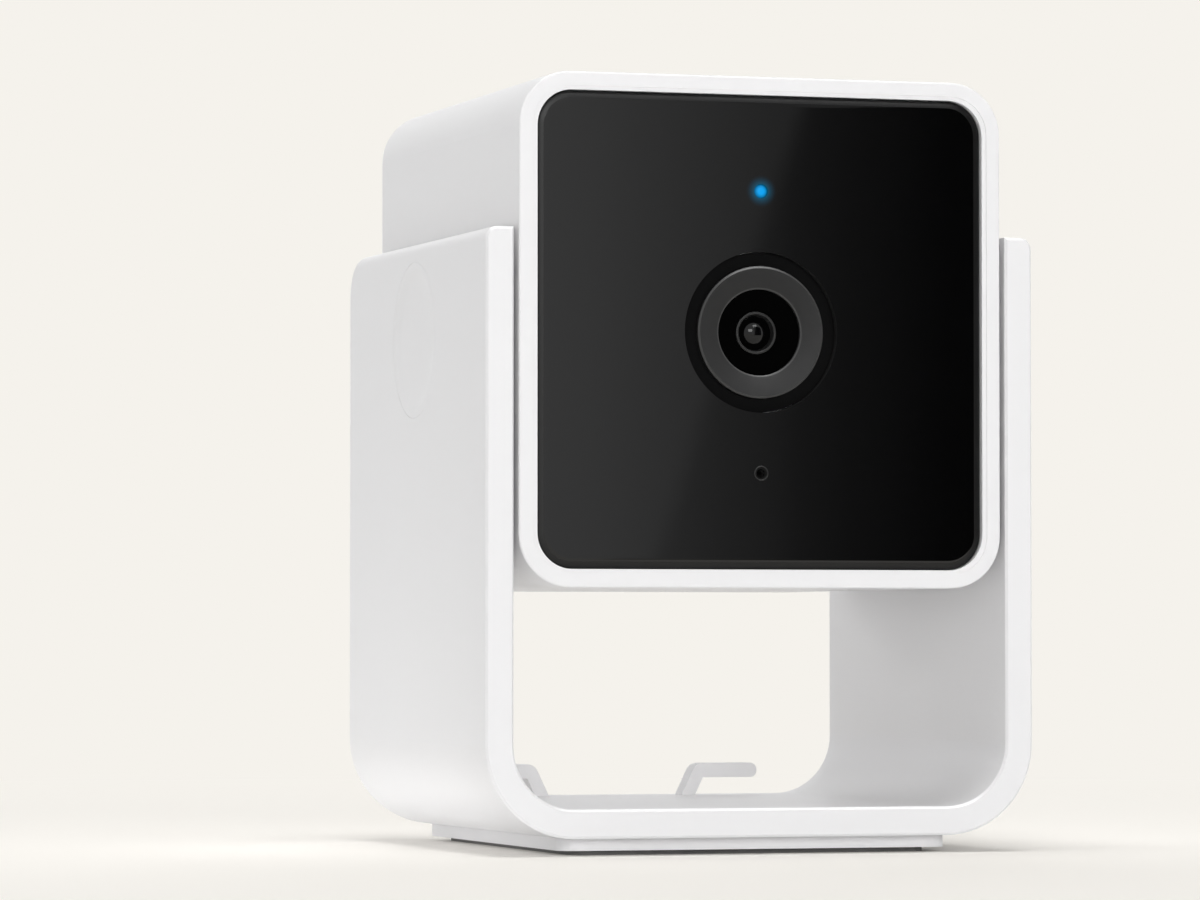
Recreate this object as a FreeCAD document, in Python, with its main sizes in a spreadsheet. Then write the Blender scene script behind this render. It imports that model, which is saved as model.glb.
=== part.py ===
"""Desk pet camera: a cube-shaped camera head that tilts between the arms of a U-shaped stand.

Frame: millimetres, +Z up, the front looks along -Y, +X to the right for someone who faces the front,
origin on the ground below the middle of the foot. Every piece is drawn about the tilt axis and then
lifted by LIFT. A "depth" here is a distance from the tilt axis towards the front, so it runs along -Y.
"""
import FreeCAD, Part
import math
import os
import Sketcher

SIZES = {
    # Head: outer size, rounding and walls.
    "head_width": 52.9,
    "head_depth": 54.2,
    "head_height": 53.2,
    "head_corner": 5.5,
    "head_back_round": 1.6,
    "head_inner_round": 1.0,
    "head_front_round": 0.25,
    "shell_wall": 1.5,
    "back_wall": 1.8,
    # Stand: a U with two arms, open at the front and the back.
    "head_gap": 0.55,
    "arm_wall": 3.0,
    "floor_wall": 3.0,
    "stand_overhang": 0.1,
    "window_height": 22.8,
    "arm_rise": 10.4,
    "inner_corner": 6.6,
    "arm_corner": 4.5,
    "stand_edge_round": 1.2,
    "stand_edge_break": 0.25,
    # Rear cable hooks, moulded on the stand's floor.
    "hook_foot": 8.6,
    "hook_lean": 1.7,
    "hook_reach": 16.7,
    "hook_rise": 3.55,
    "hook_bar": 1.6,
    "hook_depth": 2.4,
    "hook_setback": 1.7,
    "hook_knee_round": 1.4,
    "hook_tip_flat": 0.16,
    # Foot plate and pad.
    "foot_inset_side": 8.67,
    "foot_inset_end": 2.3,
    "foot_corner": 2.0,
    "foot_height": 1.8,
    "foot_recess": 0.4,
    "foot_fit": 0.1,
    "pad_reveal": 0.5,
    "pad_recess": 0.3,
    "pad_margin": 1.6,
    "foot_screw_inset_x": 6.05,
    "foot_screw_inset_y": 6.5,
    "foot_screw_radius": 0.8,
    "foot_screw_head": 1.6,
    "foot_screw_bite": 2.2,
    # Tilt joint.
    "cap_radius": 8.3,
    "cap_thickness": 0.9,
    "cap_edge_break": 0.25,
    "press_clearance": 0.05,
    "running_clearance": 0.05,
    "flange_radius": 5.5,
    "flange_thickness": 0.5,
    "flange_room": 0.25,
    "flange_clearance": 0.7,
    "trunnion_radius": 3.5,
    "friction_washer_radius": 6.5,
    "pivot_screw_radius": 0.95,
    "pivot_screw_head": 1.9,
    "pivot_screw_cone": 0.9,
    "insert_radius": 2.0,
    "insert_length": 4.0,
    "socket_depth": 2.0,
    # Front stack.
    "frame_rim_side": 0.4,
    "frame_rim_top": 0.3,
    "panel_corner_step": 0.2,
    "panel_thickness": 1.2,
    "panel_recess": 0.5,
    "panel_edge_break": 0.2,
    "panel_gap": 0.06,
    "adhesive_thickness": 0.2,
    "adhesive_width": 2.4,
    "adhesive_inset": 0.6,
    "frame_gap": 0.1,
    "frame_lip_set": 0.1,
    "frame_floor": 1.2,
    "frame_skirt": 2.8,
    "frame_skirt_wall": 0.9,
    "frame_screw_inset": 5.3,
    "frame_screw_radius": 0.9,
    "frame_screw_head": 1.8,
    "frame_screw_length": 8.0,
    "frame_post_radius": 1.8,
    # Lens.
    "lens_groove_width": 1.5,
    "groove_depth": 0.8,
    "well_wall": 0.65,
    "lens_ring_radius": 6.88,
    "lens_ring_bore": 4.5,
    "lens_ring_bevel": 0.2,
    "lens_ring_rim_bevel": 0.12,
    "lens_ring_sink": 0.1,
    "lens_ring_dish": 0.45,
    "lens_ring_length": 3.4,
    "lens_ring_seat": 0.95,
    "barrel_set_back": 1.6,
    "barrel_flange_radius": 5.4,
    "barrel_flange": 1.2,
    "barrel_radius": 4.0,
    "barrel_length": 12.4,
    "barrel_cone_radius": 4.2,
    "barrel_cone_depth": 0.72,
    "front_lens_radius": 1.7,
    "front_lens_rim": 0.45,
    "front_lens_sink": 0.2,
    "front_lens_edge": 1.2,
    "front_lens_round": 0.8,
    "rear_lens_radius": 2.8,
    "rear_lens_thickness": 1.6,
    "rear_lens_spacing": 3.2,
    "barrel_exit_radius": 2.2,
    "barrel_exit_wall": 0.8,
    # Lens holder and the filter slide in it.
    "holder_fit": 0.1,
    "barrel_end_gap": 0.3,
    "barrel_rest": 0.2,
    "holder_neck_radius": 6.0,
    "holder_neck_length": 7.0,
    "holder_base_depth": 4.3,
    "chamber_floor": 1.2,
    "chamber_end_wall": 1.0,
    "chamber_side_wall": 1.9,
    "chamber_end_gap": 0.7,
    "chamber_side_gap": 0.4,
    "chamber_face_gap": 0.4,
    "light_hole_radius": 2.4,
    "filter_width": 9.8,
    "filter_height": 6.4,
    "filter_thickness": 0.8,
    "filter_travel": 4.8,
    "filter_window": 4.0,
    "actuator_width": 9.0,
    "actuator_height": 4.0,
    "actuator_depth": 3.6,
    "sensor_width": 6.4,
    "sensor_height": 5.2,
    "sensor_thickness": 0.8,
    "sensor_gap": 0.15,
    # Boards, heat path and chassis.
    "board_margin_side": 2.8,
    "board_margin_top": 2.7,
    "board_thickness": 1.2,
    "board_notch_gap": 0.3,
    "board_screw_inset_x": 4.0,
    "board_screw_inset_z": 8.5,
    "board_screw_radius": 0.8,
    "board_screw_head": 1.6,
    "board_screw_head_height": 0.8,
    "board_screw_length": 4.5,
    "chip_height": 1.0,
    "processor_width": 12.0,
    "memory_width": 8.0,
    "memory_offset": 13.0,
    "thermal_pad_thickness": 0.5,
    "thermal_pad_width": 14.0,
    "spreader_width": 30.0,
    "spreader_height": 18.0,
    "spreader_thickness": 1.0,
    "chassis_gap": 0.15,
    "chassis_wall": 1.6,
    "chassis_reach_back": 5.0,
    "web_thickness": 1.6,
    "web_window_side": 2.7,
    "web_window_height": 8.0,
    "web_window_inset": 6.45,
    "boss_radius": 2.3,
    "socket_boss_radius": 4.7,
    "socket_boss_length": 7.0,
    "pilot_radius": 0.8,
    "front_board_margin_side": 0.7,
    "front_board_margin_top": 1.1,
    "front_board_thickness": 1.0,
    "front_board_gap": 1.2,
    "front_board_screw_inset": 3.0,
    "front_board_screw_bite": 0.7,
    "lamp_circle": 13.0,
    "lamp_size": 2.4,
    "lamp_height": 0.8,
    "lamp_window_radius": 1.9,
    "flex_width": 8.0,
    "flex_thickness": 0.3,
    "flex_bulge": 3.0,
    "flex_height": 13.5,
    "flex_landing": 2.5,
    # Status light and microphone.
    "led_inset": 9.95,
    "led_radius": 0.72,
    "led_hole_clearance": 0.05,
    "led_collar_radius": 1.1,
    "led_body": 2.0,
    "microphone_inset": 9.95,
    "microphone_hole": 0.45,
    "microphone_rim": 0.72,
    "microphone_rim_depth": 0.2,
    "microphone_width": 3.4,
    "microphone_height": 1.0,
    "gasket_radius": 1.5,
    # Speaker.
    "speaker_margin": 0.8,
    "speaker_radius": 13.5,
    "speaker_gasket": 0.8,
    "speaker_gasket_width": 2.0,
    "speaker_frame_depth": 4.0,
    "speaker_frame_wall": 1.0,
    "speaker_ear_reach": 2.9,
    "speaker_ear_radius": 2.0,
    "speaker_ear_thickness": 1.2,
    "speaker_post_radius": 1.7,
    "speaker_screw_length": 3.0,
    "cone_depth": 2.2,
    "cone_thickness": 0.4,
    "dome_radius": 4.0,
    "magnet_radius": 8.0,
    "magnet_depth": 4.5,
    "grille_hole": 0.65,
    "grille_pitch": 2.7,
    # Power socket, reset switch and rear board.
    "inlet_drop": 15.5,
    "inlet_width": 10.8,
    "inlet_height": 6.8,
    "inlet_corner": 1.4,
    "socket_width": 7.5,
    "socket_height": 2.9,
    "socket_length": 5.2,
    "socket_set_back": 2.2,
    "socket_shell": 0.35,
    "socket_cavity": 4.2,
    "tongue_height": 0.6,
    "tongue_width": 4.6,
    "rear_board_margin": 2.5,
    "rear_board_height": 9.4,
    "rear_board_thickness": 1.0,
    "rear_post_gap": 1.1,
    "rear_post_radius": 1.7,
    "rear_screw_length": 3.0,
    "button_offset": 9.6,
    "button_radius": 1.5,
    "button_fit": 0.1,
    "button_set_back": 0.15,
    "button_flange": 2.1,
    "button_flange_thickness": 0.7,
    "button_travel": 0.5,
    "button_stop_gap": 0.1,
    "switch_width": 3.4,
    "switch_height": 1.4,
    "switch_plunger": 0.8,
    # Antenna, connectors and leads.
    "antenna_width": 30.0,
    "antenna_length": 9.0,
    "antenna_thickness": 0.3,
    "antenna_setback": 4.2,
    "connector_width": 5.0,
    "connector_height": 3.0,
    "connector_depth": 2.2,
    "connector_spread": 8.0,
    "lead_radius": 0.7,
    "coax_radius": 0.45,
    "lead_straight": 5.0,
    "lead_slack": 2.5,
    "lead_lane": 3.5,
    "speaker_terminal_drop": 6.7,
}
GRILLE_RINGS = 3
LAMP_COUNT = 8
SPEAKER_EAR_ANGLES = (90, 210, 330)

DOC = FreeCAD.newDocument("PetCamera")
SHEET = DOC.addObject("Spreadsheet::Sheet", "Sizes")
NODES = []
ACROSS = FreeCAD.Vector(1, 0, 0)
UP = FreeCAD.Vector(0, 0, 1)


class Size:
    """A size with its present value and the sheet expression that gives it."""

    def __init__(self, value, text):
        self.value = value
        self.text = text

    def __add__(self, other):
        other = as_size(other)
        return Size(self.value + other.value, f"({self.text} + {other.text})")

    def __radd__(self, other):
        return as_size(other) + self

    def __sub__(self, other):
        other = as_size(other)
        return Size(self.value - other.value, f"({self.text} - {other.text})")

    def __rsub__(self, other):
        return as_size(other) - self

    def __mul__(self, other):
        other = as_size(other)
        return Size(self.value * other.value, f"({self.text} * {other.text})")

    def __rmul__(self, other):
        return as_size(other) * self

    def __truediv__(self, other):
        other = as_size(other)
        return Size(self.value / other.value, f"({self.text} / {other.text})")

    def __neg__(self):
        return as_size(0) - self


def as_size(number):
    """Give a plain number the same manners as a size from the sheet."""
    if isinstance(number, Size):
        return number
    return Size(float(number), repr(float(number)))


class Table:
    """The driving sizes by name."""

    def __getattr__(self, alias):
        return Size(float(SIZES[alias]), "Sizes." + alias)


S = Table()


def fill_sheet():
    """Write each driving size into its own cell and give the cell its name."""
    for row, (alias, number) in enumerate(SIZES.items(), start=1):
        SHEET.set(f"A{row}", alias)
        SHEET.set(f"B{row}", str(number))
        SHEET.setAlias(f"B{row}", alias)
    DOC.recompute()


fill_sheet()

# Levels and planes that several pieces share, measured from the tilt axis.
HALF_WIDTH = S.head_width / 2
HALF_DEPTH = S.head_depth / 2
HALF_HEIGHT = S.head_height / 2
FLOOR_TOP = -(HALF_HEIGHT + S.window_height)
UNDERSIDE = FLOOR_TOP - S.floor_wall
GROUND = UNDERSIDE - S.foot_height
LIFT = -GROUND
PLATE_TOP = UNDERSIDE + S.foot_recess
PLATE_BOTTOM = GROUND + S.pad_reveal
PAD_TOP = PLATE_BOTTOM + S.pad_recess
ARM_INNER = HALF_WIDTH + S.head_gap
ARM_OUTER = ARM_INNER + S.arm_wall
HALF_STAND = HALF_DEPTH + S.stand_overhang
FOOT_HALF_X = ARM_OUTER - S.foot_inset_side
FOOT_HALF_Y = HALF_STAND - S.foot_inset_end
CAP_SEAT = ARM_OUTER - S.cap_thickness
FLANGE_OUTER = CAP_SEAT - S.flange_room
FLANGE_INNER = FLANGE_OUTER - S.flange_thickness
FLANGE_SEAT = FLANGE_INNER - S.running_clearance
SHELL_INNER_X = HALF_WIDTH - S.shell_wall
SHELL_INNER_Z = HALF_HEIGHT - S.shell_wall
CHASSIS_SIDE = SHELL_INNER_X - S.chassis_gap
CHASSIS_TOP = SHELL_INNER_Z - S.chassis_gap
SOCKET_END = CHASSIS_SIDE - S.socket_depth

PANEL_FRONT = HALF_DEPTH - S.panel_recess
PANEL_BACK = PANEL_FRONT - S.panel_thickness
FRAME_FACE = PANEL_BACK - S.adhesive_thickness
FRAME_BACK = FRAME_FACE - S.frame_floor
FRAME_LIP = HALF_DEPTH - S.frame_lip_set
FRAME_HALF_X = SHELL_INNER_X - S.frame_gap
FRAME_HALF_Z = SHELL_INNER_Z - S.frame_gap
FRAME_CORNER = S.head_corner - S.shell_wall - S.frame_gap
PANEL_HALF_X = FRAME_HALF_X - S.frame_rim_side - S.panel_gap
PANEL_HALF_Z = FRAME_HALF_Z - S.frame_rim_top - S.panel_gap
PANEL_CORNER = FRAME_CORNER - S.panel_corner_step
LED_HEIGHT = PANEL_HALF_Z - S.led_inset
MICROPHONE_HEIGHT = -(PANEL_HALF_Z - S.microphone_inset)
GROOVE_RADIUS = S.lens_ring_radius + S.lens_groove_width
FRAME_SCREW_X = HALF_WIDTH - S.frame_screw_inset
FRAME_SCREW_Z = HALF_HEIGHT - S.frame_screw_inset
FRONT_BOARD_FRONT = FRAME_BACK - S.front_board_gap
FRONT_BOARD_BACK = FRONT_BOARD_FRONT - S.front_board_thickness

BARREL_FRONT = HALF_DEPTH - S.barrel_set_back
FLANGE_BACK = BARREL_FRONT - S.barrel_flange
BARREL_BACK = BARREL_FRONT - S.barrel_length
HOLDER_TOP = BARREL_BACK - S.barrel_rest
NECK_END = HOLDER_TOP + S.holder_neck_length
BOARD_FRONT = HOLDER_TOP - S.holder_base_depth
BOARD_BACK = BOARD_FRONT - S.board_thickness
CHIP_FACE = BOARD_BACK - S.chip_height
SPREADER_FRONT = CHIP_FACE - S.thermal_pad_thickness
WEB_FRONT = SPREADER_FRONT - S.spreader_thickness
CHASSIS_BACK = -S.chassis_reach_back
CHAMBER_BACK = BOARD_FRONT + S.chamber_floor
CHAMBER_HALF_X = (S.filter_width + S.filter_travel) / 2 + S.chamber_end_gap
CHAMBER_HALF_Z = S.filter_height / 2 + S.chamber_side_gap
HOLDER_HALF_Z = CHAMBER_HALF_Z + S.chamber_side_wall

BACK_OUTER = -HALF_DEPTH
BACK_INNER = BACK_OUTER + S.back_wall
GASKET_FRONT = BACK_INNER + S.speaker_gasket
SPEAKER_FRONT = GASKET_FRONT + S.speaker_frame_depth
EAR_BACK = SPEAKER_FRONT - S.speaker_ear_thickness
SOCKET_MOUTH = BACK_OUTER + S.socket_set_back
REAR_BOARD_BACK = SOCKET_MOUTH + S.socket_length
REAR_BOARD_FRONT = REAR_BOARD_BACK + S.rear_board_thickness

BOARD_HALF_X = SHELL_INNER_X - S.board_margin_side
BOARD_HALF_Z = SHELL_INNER_Z - S.board_margin_top
BOARD_SCREW_X = BOARD_HALF_X - S.board_screw_inset_x
BOARD_SCREW_Z = BOARD_HALF_Z - S.board_screw_inset_z
WINDOW_LEVEL = CHASSIS_TOP - S.chassis_wall - S.web_window_inset
FRONT_BOARD_HALF_X = FRAME_SCREW_X - S.boss_radius - S.front_board_margin_side
FRONT_BOARD_HALF_Z = FRAME_SCREW_Z - S.boss_radius - S.front_board_margin_top
EAR_CIRCLE = S.speaker_radius + S.speaker_ear_reach
SPEAKER_LIFT = SHELL_INNER_Z - EAR_CIRCLE - S.speaker_ear_radius - S.speaker_margin
REAR_POST_X = S.button_offset + S.button_flange + S.rear_post_radius + S.rear_post_gap


# ---------------------------------------------------------------- drawing helpers

def bind(thing, prop, size):
    """Drive one property of a document object from the sheet."""
    thing.setExpression(prop, as_size(size).text)


def seat(thing, across=0, depth=0, height=0, rotation=None):
    """Place a piece: across to the right, depth towards the front, height above the tilt axis."""
    across, depth, height = as_size(across), as_size(depth), as_size(height)
    spot = FreeCAD.Vector(across.value, -depth.value, (height + LIFT).value)
    thing.Placement = FreeCAD.Placement(spot, rotation or FreeCAD.Rotation())
    bind(thing, "Placement.Base.x", across)
    bind(thing, "Placement.Base.y", -depth)
    bind(thing, "Placement.Base.z", height + LIFT)


def new_body(name, across=0, height=0):
    """Start a sub-part as a body of its own and list it for export."""
    body = DOC.addObject("PartDesign::Body", name)
    body.Label = name
    seat(body, across, 0, height)
    NODES.append(body)
    return body


def sketch_on(body, role, offset=0):
    """Open a sketch on one of the body's own origin planes, moved along its normal."""
    plane = next(item for item in body.Origin.OriginFeatures if item.Role == role)
    sketch = body.newObject("Sketcher::SketchObject", body.Name + "_sketch")
    sketch.AttachmentSupport = [(plane, "")]
    sketch.MapMode = "FlatFace"
    offset = as_size(offset)
    sketch.AttachmentOffset = FreeCAD.Placement(UP * offset.value, FreeCAD.Rotation())
    bind(sketch, "AttachmentOffset.Base.z", offset)
    return sketch


def hold(sketch, geometry, point, size, kind):
    """Hold one coordinate of a sketch point; kind is DistanceX or DistanceY."""
    size = as_size(size)
    if abs(size.value) < 1e-9:
        axis = -2 if kind == "DistanceX" else -1
        sketch.addConstraint(Sketcher.Constraint("PointOnObject", geometry, point, axis))
        return
    if size.value > 0:
        ends = (-1, 1, geometry, point)
    else:
        ends = (geometry, point, -1, 1)
        size = -size
    index = sketch.addConstraint(Sketcher.Constraint(kind, *ends, size.value))
    bind(sketch, f"Constraints[{index}]", size)


def outline(sketch, points):
    """Draw a closed outline of straight runs with both coordinates of every corner held."""
    points = [(as_size(x), as_size(y)) for x, y in points]
    first = sketch.GeometryCount
    for index, (x, y) in enumerate(points):
        next_x, next_y = points[(index + 1) % len(points)]
        start = FreeCAD.Vector(x.value, y.value, 0)
        end = FreeCAD.Vector(next_x.value, next_y.value, 0)
        sketch.addGeometry(Part.LineSegment(start, end), False)
    for index, (x, y) in enumerate(points):
        line = first + index
        following = first + (index + 1) % len(points)
        sketch.addConstraint(Sketcher.Constraint("Coincident", line, 2, following, 1))
        hold(sketch, line, 1, x, "DistanceX")
        hold(sketch, line, 1, y, "DistanceY")


def rectangle(sketch, left, right, bottom, top):
    """Draw a sharp rectangle."""
    outline(sketch, [(left, bottom), (right, bottom), (right, top), (left, top)])


def circle(sketch, x, y, radius):
    """Draw a circle held by its centre and radius."""
    x, y, radius = as_size(x), as_size(y), as_size(radius)
    centre = FreeCAD.Vector(x.value, y.value, 0)
    geometry = sketch.addGeometry(Part.Circle(centre, UP, radius.value), False)
    index = sketch.addConstraint(Sketcher.Constraint("Radius", geometry, radius.value))
    bind(sketch, f"Constraints[{index}]", radius)
    hold(sketch, geometry, 3, x, "DistanceX")
    hold(sketch, geometry, 3, y, "DistanceY")


def rounded_rectangle(sketch, half_x, half_y, corner):
    """Draw a rectangle with round corners about the sketch's origin."""
    half_x, half_y, corner = as_size(half_x), as_size(half_y), as_size(corner)
    wide, high, turn = half_x.value, half_y.value, corner.value
    flat_x, flat_y = wide - turn, high - turn
    runs = [((-flat_x, -high), (flat_x, -high)), ((wide, -flat_y), (wide, flat_y)),
            ((flat_x, high), (-flat_x, high)), ((-wide, flat_y), (-wide, -flat_y))]
    centres = [(flat_x, -flat_y), (flat_x, flat_y), (-flat_x, flat_y), (-flat_x, -flat_y)]
    first = sketch.GeometryCount
    for start, end in runs:
        sketch.addGeometry(Part.LineSegment(FreeCAD.Vector(*start, 0), FreeCAD.Vector(*end, 0)), False)
    for index, (x, y) in enumerate(centres):
        start_angle = math.radians(270 + 90 * index)
        ring = Part.Circle(FreeCAD.Vector(x, y, 0), UP, turn)
        sketch.addGeometry(Part.ArcOfCircle(ring, start_angle, start_angle + math.pi / 2), False)
    for index in range(4):
        line, arc, following = first + index, first + 4 + index, first + (index + 1) % 4
        sketch.addConstraint(Sketcher.Constraint("Tangent", line, 2, arc, 1))
        sketch.addConstraint(Sketcher.Constraint("Tangent", arc, 2, following, 1))
        direction = "Horizontal" if index % 2 == 0 else "Vertical"
        sketch.addConstraint(Sketcher.Constraint(direction, line))
        if index:
            sketch.addConstraint(Sketcher.Constraint("Equal", first + 4, arc))
    index = sketch.addConstraint(Sketcher.Constraint("Radius", first + 4, turn))
    bind(sketch, f"Constraints[{index}]", corner)
    hold(sketch, first, 1, -half_y, "DistanceY")
    hold(sketch, first + 1, 1, half_x, "DistanceX")
    hold(sketch, first + 2, 1, half_y, "DistanceY")
    hold(sketch, first + 3, 1, -half_x, "DistanceX")


def add_feature(body, kind, sketch):
    """Add a sketch-based feature to a body."""
    feature = body.newObject("PartDesign::" + kind, body.Name + "_" + kind.lower())
    feature.Profile = sketch
    return feature


def pad(body, sketch, length, reverse=False, symmetric=False):
    """Add material: towards the sketch's normal, against it, or both ways."""
    feature = add_feature(body, "Pad", sketch)
    feature.Reversed = reverse
    if symmetric:
        feature.SideType = "Symmetric"
    feature.Length = as_size(length).value
    bind(feature, "Length", length)
    DOC.recompute()
    return feature


def pocket(body, sketch, length, reverse=False, symmetric=False):
    """Cut material against the sketch's normal, along it, or both ways, and check that it cut."""
    before = body.Shape.Volume
    feature = add_feature(body, "Pocket", sketch)
    feature.Reversed = reverse
    if symmetric:
        feature.SideType = "Symmetric"
    feature.Length = as_size(length).value
    bind(feature, "Length", length)
    DOC.recompute()
    if body.Shape.Volume >= before:
        raise RuntimeError(feature.Name + " cuts nothing")
    return feature


def turn_profile(body, role, points, axis, kind="Revolution"):
    """Turn a closed profile about a sketch axis, to add or (Groove) to cut."""
    sketch = sketch_on(body, role)
    outline(sketch, points)
    before = body.Shape.Volume if kind == "Groove" else 0
    feature = add_feature(body, kind, sketch)
    feature.ReferenceAxis = (sketch, [axis])
    feature.Angle = 360
    DOC.recompute()
    if kind == "Groove" and body.Shape.Volume >= before:
        raise RuntimeError(feature.Name + " cuts nothing")
    return feature


def turned_deep(name, points, across=0, height=0):
    """A piece turned about a front-to-back axis; points are (radius, depth)."""
    body = new_body(name, across, height)
    turn_profile(body, "XY_Plane", [(radius, -as_size(depth)) for radius, depth in points], "V_Axis")
    return body


def dress_edges(body, kind, test, size):
    """Round (Fillet) or break (Chamfer) the edges of the body's last feature that pass a test."""
    base = body.Tip
    names = [f"Edge{number}" for number, edge in enumerate(base.Shape.Edges, start=1) if test(edge)]
    if not names:
        raise RuntimeError(body.Name + " has no edge to dress")
    feature = body.newObject("PartDesign::" + kind, body.Name + "_" + kind.lower())
    feature.Base = (base, names)
    prop = "Radius" if kind == "Fillet" else "Size"
    setattr(feature, prop, as_size(size).value)
    bind(feature, prop, size)
    DOC.recompute()
    return feature


def near(number, size):
    """Say whether a coordinate lies at a size, to a hundredth of a millimetre."""
    return abs(number - as_size(size).value) < 0.01


def runs_deep(edge):
    """Say whether an edge is straight and runs front to back."""
    ends = edge.Vertexes
    if len(ends) < 2:
        return False
    step = ends[1].Point - ends[0].Point
    return abs(step.y) > 0.01 and abs(step.x) < 0.001 and abs(step.z) < 0.001


def on_plane(edge, depth):
    """Say whether an edge lies wholly at one depth."""
    box = edge.BoundBox
    return near(box.YMin, -as_size(depth)) and near(box.YMax, -as_size(depth))


def block(name, left, right, back, front, bottom, top, node=True):
    """A plain rectangular piece, between two depths."""
    left, right, back, front = as_size(left), as_size(right), as_size(back), as_size(front)
    bottom, top = as_size(bottom), as_size(top)
    piece = DOC.addObject("Part::Box", name)
    bind(piece, "Length", right - left)
    bind(piece, "Width", front - back)
    bind(piece, "Height", top - bottom)
    seat(piece, left, front, bottom)
    if node:
        NODES.append(piece)
    return piece


def rod(name, across, height, radius, back, front):
    """A cylinder about a front-to-back axis, between two depths."""
    piece = DOC.addObject("Part::Cylinder", name)
    bind(piece, "Radius", radius)
    bind(piece, "Height", as_size(front) - back)
    seat(piece, across, back, height, FreeCAD.Rotation(ACROSS, 90))
    return piece


def cone(name, across, height, back_radius, front_radius, back, front):
    """A cone about a front-to-back axis, between two depths."""
    piece = DOC.addObject("Part::Cone", name)
    bind(piece, "Radius1", back_radius)
    bind(piece, "Radius2", front_radius)
    bind(piece, "Height", as_size(front) - back)
    seat(piece, across, back, height, FreeCAD.Rotation(ACROSS, 90))
    return piece


def join(name, shapes):
    """Fuse overlapping primitives into one solid."""
    piece = DOC.addObject("Part::MultiFuse", name)
    piece.Shapes = shapes
    return piece


def group(name, pieces):
    """Keep several separate solids of one kind in one node."""
    node = DOC.addObject("Part::Compound", name)
    node.Links = pieces
    NODES.append(node)
    return node


def corners(half_x, half_y):
    """The four corners of a rectangle about the origin."""
    return [(half_x, half_y), (-half_x, half_y), (-half_x, -half_y), (half_x, -half_y)]


def pan_screw(name, across, height, seat_depth, radius, head_radius, head_height, length, way=1):
    """A pan-head screw; way 1 has its head towards the front, -1 towards the back."""
    seat_depth = as_size(seat_depth)
    head_end, tip = seat_depth + way * head_height, seat_depth - way * length
    head_span = (seat_depth, head_end) if way > 0 else (head_end, seat_depth)
    shank_span = (tip, seat_depth) if way > 0 else (seat_depth, tip)
    head = rod(name + "_head", across, height, head_radius, *head_span)
    shank = rod(name + "_shank", across, height, radius, *shank_span)
    return join(name, [head, shank])


# ---------------------------------------------------------------- stand

def build_stand_bracket():
    """The U of the stand, with stepped pivot bores, a foot recess and two rear cable hooks."""
    body = new_body("stand_bracket")
    sketch = sketch_on(body, "XZ_Plane")
    outline(sketch, [(-ARM_OUTER, UNDERSIDE), (ARM_OUTER, UNDERSIDE), (ARM_OUTER, S.arm_rise),
                     (ARM_INNER, S.arm_rise), (ARM_INNER, FLOOR_TOP), (-ARM_INNER, FLOOR_TOP),
                     (-ARM_INNER, S.arm_rise), (-ARM_OUTER, S.arm_rise)])
    pad(body, sketch, 2 * HALF_STAND, symmetric=True)
    dress_edges(body, "Fillet", lambda edge: runs_deep(edge)
                and near(abs(edge.CenterOfMass.x), ARM_INNER) and near(edge.CenterOfMass.z, FLOOR_TOP),
                S.inner_corner)
    dress_edges(body, "Fillet", lambda edge: runs_deep(edge)
                and near(abs(edge.CenterOfMass.x), ARM_OUTER) and near(edge.CenterOfMass.z, UNDERSIDE),
                S.inner_corner + S.arm_wall)
    dress_edges(body, "Fillet", lambda edge: on_plane(edge, -HALF_STAND)
                and near(edge.BoundBox.ZMin, S.arm_rise), S.arm_corner)
    dress_edges(body, "Fillet", lambda edge: on_plane(edge, -HALF_STAND)
                and near(edge.CenterOfMass.z, UNDERSIDE), S.stand_edge_round)
    dress_edges(body, "Chamfer", lambda edge: on_plane(edge, HALF_STAND), S.stand_edge_break)
    add_cable_hooks(body)
    cut_foot_recess(body)
    for side in (1, -1):
        cut_pivot_bore(body, side)
    return body


def add_cable_hooks(body):
    """Two bent fingers near the rear edge that lean apart and keep a lead on the floor."""
    slope = S.hook_lean / S.hook_rise
    half_bar = S.hook_bar / 2
    wing_top = FLOOR_TOP + S.hook_rise
    wing_under = wing_top - S.hook_bar
    knee = S.hook_foot + half_bar + slope * (S.hook_rise - S.hook_bar)
    back = HALF_STAND - S.hook_setback
    for side in (1, -1):
        sketch = sketch_on(body, "XZ_Plane", -back)
        outline(sketch, [(side * (S.hook_foot - half_bar), FLOOR_TOP),
                         (side * (S.hook_foot + half_bar), FLOOR_TOP),
                         (side * knee, wing_under), (side * S.hook_reach, wing_under),
                         (side * S.hook_reach, wing_top),
                         (side * (S.hook_foot - half_bar + S.hook_lean), wing_top)])
        pad(body, sketch, S.hook_depth)
    dress_edges(body, "Fillet", lambda edge: runs_deep(edge)
                and near(abs(edge.CenterOfMass.x), S.hook_reach)
                and edge.CenterOfMass.z < wing_top.value + 0.01, (S.hook_bar - S.hook_tip_flat) / 2)
    dress_edges(body, "Fillet", lambda edge: runs_deep(edge) and near(edge.CenterOfMass.z, wing_top)
                and near(abs(edge.CenterOfMass.x), S.hook_foot - half_bar + S.hook_lean),
                S.hook_knee_round)


def foot_screw_places():
    """Centres of the four screws that hold the foot plate."""
    return corners(FOOT_HALF_X - S.foot_screw_inset_x, FOOT_HALF_Y - S.foot_screw_inset_y)


def cut_foot_recess(body):
    """The shallow recess under the floor that the foot plate sits in, and its four screw holes."""
    sketch = sketch_on(body, "XY_Plane", UNDERSIDE)
    rounded_rectangle(sketch, FOOT_HALF_X + S.foot_fit, FOOT_HALF_Y + S.foot_fit,
                      S.foot_corner + S.foot_fit)
    pocket(body, sketch, S.foot_recess, reverse=True)
    sketch = sketch_on(body, "XY_Plane", PLATE_TOP)
    for x, y in foot_screw_places():
        circle(sketch, x, y, S.foot_screw_radius)
    pocket(body, sketch, S.foot_screw_bite, reverse=True)


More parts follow.
